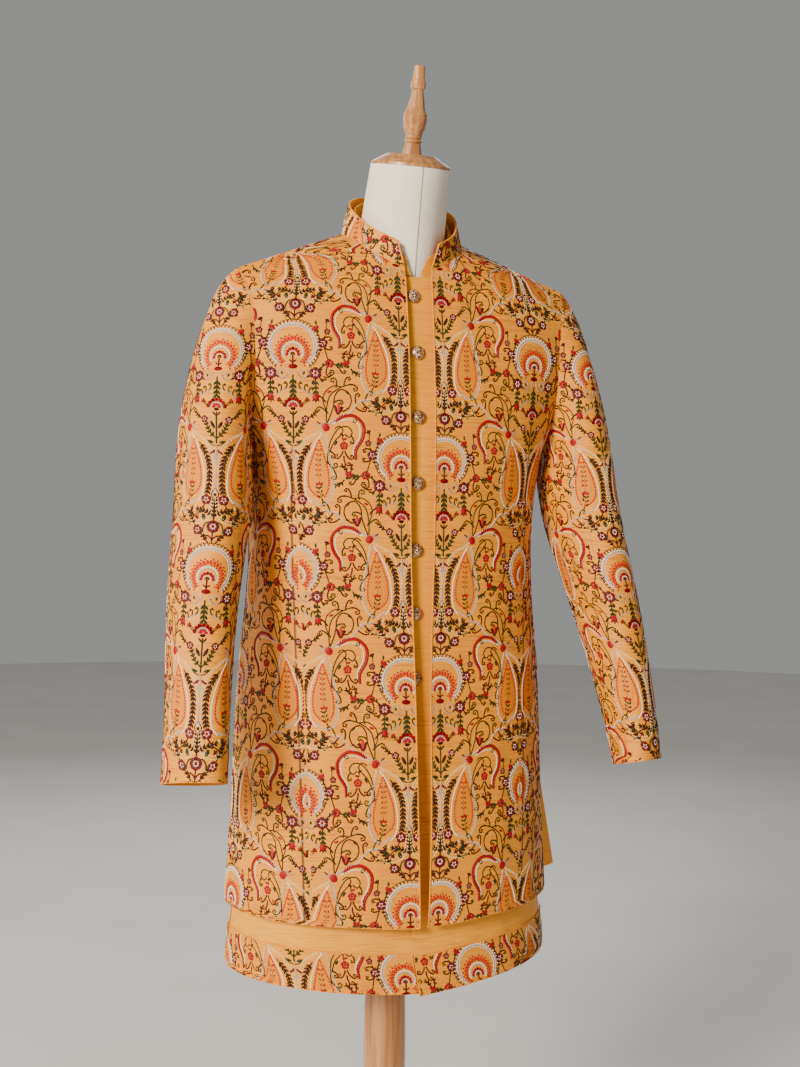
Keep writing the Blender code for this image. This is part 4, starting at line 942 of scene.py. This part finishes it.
# How each kind of node is finished: the piece's name, its material, its levels of smoothing and its slot.
finishes = {
    "coat_front": ("silk_{}", frontSilk, 2, "embroidered_silk"),
    "coat": ("silk_{}", coatSilk, 2, "embroidered_silk"),
    "inner": ("silk_{}", innerSilk, 1, "raw_silk"),
    "border": ("silk_{}", coatSilk, 1, "embroidered_silk"),
    "button": ("cast_{}", casting, 2, "button_metal"),
    "form_torso": ("jersey_torso", jersey, 2, "form_cover"),
    "form_base": ("turned_{}", baseWood, 2, "turned_wood", copying["turnedCorner"]),
    "form": ("turned_{}", wood, 2, "turned_wood", copying["turnedCorner"]),
}
shells = {}
for nodeName in cadNodes:
    name, *finish = next(row for kind, row in finishes.items() if nodeName.startswith(kind))
    shells[nodeName] = smoothCopy(nodeName, name.format(nodeName), *finish)
print("stage: cloth shells and form")

# Where the work lies: the panels' centre line and heights in metres, then the rosettes' heights in mm.
bodyChart = {"centre": lambda h: np.array([0.0, -0.02, h]), "topHeight": 1.30, "capRadius": 0.17,
             "lowHeight": 0.58, "highTilt": 1.45}
hemChart = dict(bodyChart, lowHeight=0.48, topHeight=0.70, highTilt=0.0, facing=0.7)
frontAngles, backAngles = (-30, 130), (64, 296)
rosettes = {"front": 1180, "back": 1310, "sleeve": 1308, "collar": 1480, "collarAcross": 118,
            "overHem": 31, "hemEdge": {"right": 14, "left": 83}}
column = columnWork()
print("column motif", len(column["faces"]), "triangles")


def layColumns(chart, laid, places, firstUp, ends, side=1, first=0.0, spacing=repeat["across"]):
    # Columns counted from a front edge or a middle line. Every other one is half a repeat lower.
    for n in places:
        up = firstUp + repeat["up"] * 2 - (repeat["up"] / 2 if n % 2 else 0)
        while up > ends[0] - repeat["above"]:
            if up < ends[1] + repeat["below"]:
                laid.lay(chart, column, side * (first + n * spacing), up)
            up -= repeat["up"]


topStitch = {"inset": 4.5, "length": 2.8, "width": 0.9, "gap": 4.4, "rise": 0.35, "middle": 1010,
             "row": 800}


def stitchRow(length):
    # A straight row of running stitches.
    work = FlatWork()
    for up in np.arange(-length / 2, length / 2, topStitch["gap"]):
        work.dab((0, up), topStitch["length"], topStitch["width"], 90, "gold", topStitch["rise"], 4)
    return work.finish(mirror=False)


for name, side in (("right", -1), ("left", 1)):
    chart = ClothChart([shells["coat_front_" + name]], angles=[side * angle for angle in frontAngles],
                       zero="edge", dart=dart, **bodyChart)
    laid = LaidWork()
    layColumns(chart, laid, range(3), rosettes["front"], (600, 1500), side, repeat["edge"])
    laid.lay(chart, stitchRow(topStitch["row"]), side * topStitch["inset"], topStitch["middle"])
    laid.finish("embroidery_front_" + name)

chart = ClothChart([shells["coat_back"]], angles=backAngles, zero=180, **bodyChart)
laid = LaidWork()
layColumns(chart, laid, range(-3, 4), rosettes["back"], (600, 1500))
laid.finish("embroidery_back")
sleeve = {"turn": 8, "halfRound": 178, "slices": 14, "slice": 0.015, "foot": 0.02, "head": 1.31}


def limbLine(shells, low, high):
    # The middle of a sleeve at each height.
    points = np.array([v.co for shell in shells for v in shell.data.vertices])
    heights = np.linspace(low, high, sleeve["slices"])
    middles = []
    for height in heights:
        near = points[abs(points[:, 2] - height) < sleeve["slice"]]
        middles.append((near.min(axis=0) + near.max(axis=0)) / 2)
    middles = np.array(middles)
    return lambda h: np.array([*(np.interp(h, heights, middles[:, axis]) for axis in (0, 1)), h])


for name, side in (("right", -1), ("left", 1)):
    parts = [shells["coat_sleeve_" + name + "_top"], shells["coat_sleeve_" + name + "_under"]]
    low = min(v.co.z for v in parts[0].data.vertices)
    turn, half = sleeve["turn"] * side, sleeve["halfRound"]
    chart = ClothChart(parts, centre=limbLine(parts, low + sleeve["foot"], sleeve["head"]), topHeight=1.30,
                       capRadius=0.09, angles=(turn - half, turn + half), zero=turn, lowHeight=low,
                       highTilt=1.45)
    laid = LaidWork()
    layColumns(chart, laid, range(-2, 3), rosettes["sleeve"], (low * 1000, 1480))
    laid.finish("embroidery_sleeve_" + name)

chart = ClothChart([shells["coat_collar"]], centre=lambda h: np.array([0.0, -0.03, h]), topHeight=1.6,
                   capRadius=0.2, angles=(-179, 179), zero=0, lowHeight=1.38, highTilt=0.0)
laid = LaidWork()
layColumns(chart, laid, range(-2, 3), rosettes["collar"], (1380, 1560), spacing=rosettes["collarAcross"])
laid.finish("embroidery_collar")

for name, side in (("right", -1), ("left", 1)):
    border = shells["border_front_" + name]
    low = min(v.co.z for v in border.data.vertices if v.co.y < 0 and abs(v.co.x) < 0.05) * 1000
    chart = ClothChart([border], angles=[side * angle for angle in frontAngles], zero="edge", **hemChart)
    laid = LaidWork()
    layColumns(chart, laid, range(-1, 4), low + rosettes["overHem"], (500, 700), side,
               rosettes["hemEdge"][name])
    laid.finish("embroidery_hem_" + name)
chart = ClothChart([shells["border_back"]], angles=backAngles, zero=180, **hemChart)
laid = LaidWork()
layColumns(chart, laid, range(-3, 4), low + rosettes["overHem"], (500, 700))
laid.finish("embroidery_hem_back")
print("stage: embroidery")


piping = {"radius": 1.0 * mm, "clear": 3.5 * mm, "reachAside": 0.062, "wall": (1.4 * mm, 2.7 * mm),
          "deeper": 0.9 * mm, "fewest": 6, "back": 0.02}
# The work on a button, in mm, and how far off its rays start and how far they reach, in metres.
buttonFace = {"beads": 14, "beadRing": 6.9, "petals": 8, "petalRing": 3.7, "inner": 1.9, "off": 0.02,
              "deep": 0.018}


def rimPaths(shell, neighbours):
    # The open edges of a piece of cloth: chains of its sharp rim points that touch no neighbour.
    points, faces = [], []
    for other in neighbours:
        faces += [[i + len(points) for i in face.vertices] for face in other.data.polygons]
        points += [v.co for v in other.data.vertices]
    tree = BVHTree.FromPolygons(points, faces)
    sharp = shell.data.attributes["sharp_edge"].data
    rim = [list(edge.vertices) for edge in shell.data.edges if sharp[edge.index].value]
    where = {i: np.array(shell.data.vertices[i].co) for ends in rim for i in ends}
    spots = np.array(list(where.values()))
    out = np.hypot(spots[:, 0], spots[:, 1] + piping["back"])
    kept = set()
    for i, spot in where.items():
        apart = np.linalg.norm(spots - spot, axis=1)
        twins = out[(apart > piping["wall"][0]) & (apart < piping["wall"][1])]
        here = math.hypot(spot[0], spot[1] + piping["back"])
        inside = len(twins) and twins.max() > here + piping["deeper"]
        if not inside and tree.find_nearest(Vector(spot))[3] > piping["clear"]:
            kept.add(i)
    links = {}
    for one, two in rim:
        if one in kept and two in kept:
            links.setdefault(one, []).append(two)
            links.setdefault(two, []).append(one)
    paths, left = [], set(links)
    while left:
        ends = [i for i in left if len(links[i]) == 1]
        now = min(ends or left)
        path = [now]
        left.discard(now)
        while True:
            onward = [i for i in links[now] if i in left]
            if not onward:
                break
            now = onward[0]
            left.discard(now)
            path.append(now)
        paths.append(np.array([shell.data.vertices[i].co for i in path]))
    return paths


def pipe(name, paths):
    # A thin cord of the coat's own silk along each path.
    curve = bpy.data.curves.new(name, "CURVE")
    curve.dimensions = "3D"
    curve.bevel_depth = piping["radius"]
    curve.bevel_resolution = 1
    curve.use_fill_caps = True
    for path in paths:
        spline = curve.splines.new("POLY")
        spline.points.add(len(path) - 1)
        spline.points.foreach_set("co", np.column_stack([path, np.ones(len(path))]).ravel())
    drawn = bpy.data.objects.new(name + "_line", curve)
    bpy.context.collection.objects.link(drawn)
    return finishedPiece(name, bakedMesh(drawn, name), [coatSilk], "embroidered_silk")


coat = [shell for name, shell in shells.items() if name.startswith("coat_")]
for nodeName in ("coat_collar", "coat_front_right", "coat_front_left"):
    paths = rimPaths(shells[nodeName], [shell for shell in coat if shell is not shells[nodeName]])
    if nodeName != "coat_collar":
        paths = [path[(abs(path[:, 0]) < piping["reachAside"]) & (path[:, 1] < 0)] for path in paths]
    paths = [path for path in paths if len(path) >= piping["fewest"]]
    pipe("piping_" + nodeName, paths)


def buttonFiligree():
    # The raised work on a button's dome: a ring of beads, leaves and a small flower.
    work = FlatWork()
    for n in range(buttonFace["beads"]):
        angle = 360 / buttonFace["beads"] * n
        work.dab(onCircle((0, 0), buttonFace["beadRing"], angle), 1.3, 1.3, angle, "silver", 0.5)
    for n in range(buttonFace["petals"]):
        angle = 360 / buttonFace["petals"] * n
        work.dab(onCircle((0, 0), buttonFace["petalRing"], angle), 2.9, 1.5, angle, "silver", 0.6)
        work.dab(onCircle((0, 0), buttonFace["petalRing"] + 1.4, angle + 22), 1.6, 1.0, angle, "silver", 0.4)
        work.dab(onCircle((0, 0), buttonFace["inner"], angle), 1.1, 0.7, angle, "silver", 0.6, 4)
    work.dab((0, 0), 2.0, 2.0, 0, "silver", 0.8, 8)
    return work.finish(mirror=False)


filigree = buttonFiligree()
for nodeName, shell in shells.items():
    if not nodeName.startswith("button_"):
        continue
    points = np.array([v.co for v in shell.data.vertices])
    middle = points.mean(axis=0)
    out = np.linalg.svd(points - middle, full_matrices=False)[2][2]
    out = out * (1 if out[1] < 0 else -1)
    side = np.cross((0, 0, 1.0), out)
    side /= np.linalg.norm(side)
    up = np.cross(out, side)
    tree = BVHTree.FromObject(shell, bpy.context.evaluated_depsgraph_get())
    bm = bmesh.new()
    raised = []
    for x, y, z in filigree["points"] * mm:
        start = Vector(middle + side * x + up * y + out * buttonFace["off"])
        hit = tree.ray_cast(start, Vector(-out))[0]
        foot = hit if hit is not None else start - Vector(out) * buttonFace["deep"]
        raised.append(bm.verts.new(foot + Vector(out) * z))
    for face in filigree["faces"]:
        bm.faces.new([raised[i] for i in face])
    bm.normal_update()
    mesh = bpy.data.meshes.new("filigree_" + nodeName)
    bm.to_mesh(mesh)
    bm.free()
    finishedPiece("filigree_" + nodeName, mesh, [casting], "button_metal")


# Sheets: each panel's cut, in metres, width by length.
cuts = {
    "coat_front_right": (0.34, 0.90), "coat_front_left": (0.34, 0.90), "coat_back": (0.62, 0.90),
    "coat_collar": (0.50, 0.085), "coat_sleeve_right_top": (0.28, 0.68), "coat_sleeve_left_top": (0.28, 0.68),
    "coat_sleeve_right_under": (0.20, 0.60), "coat_sleeve_left_under": (0.20, 0.60),
    "inner_front_right": (0.34, 0.96), "inner_front_left": (0.34, 0.96), "inner_back": (0.62, 0.96),
    "inner_collar": (0.44, 0.08), "border_front_right": (0.34, 0.07), "border_front_left": (0.34, 0.07),
    "border_back": (0.60, 0.07),
}
for nodeName, (width, length) in cuts.items():
    shell = shells[nodeName]
print("stage: sewn details")
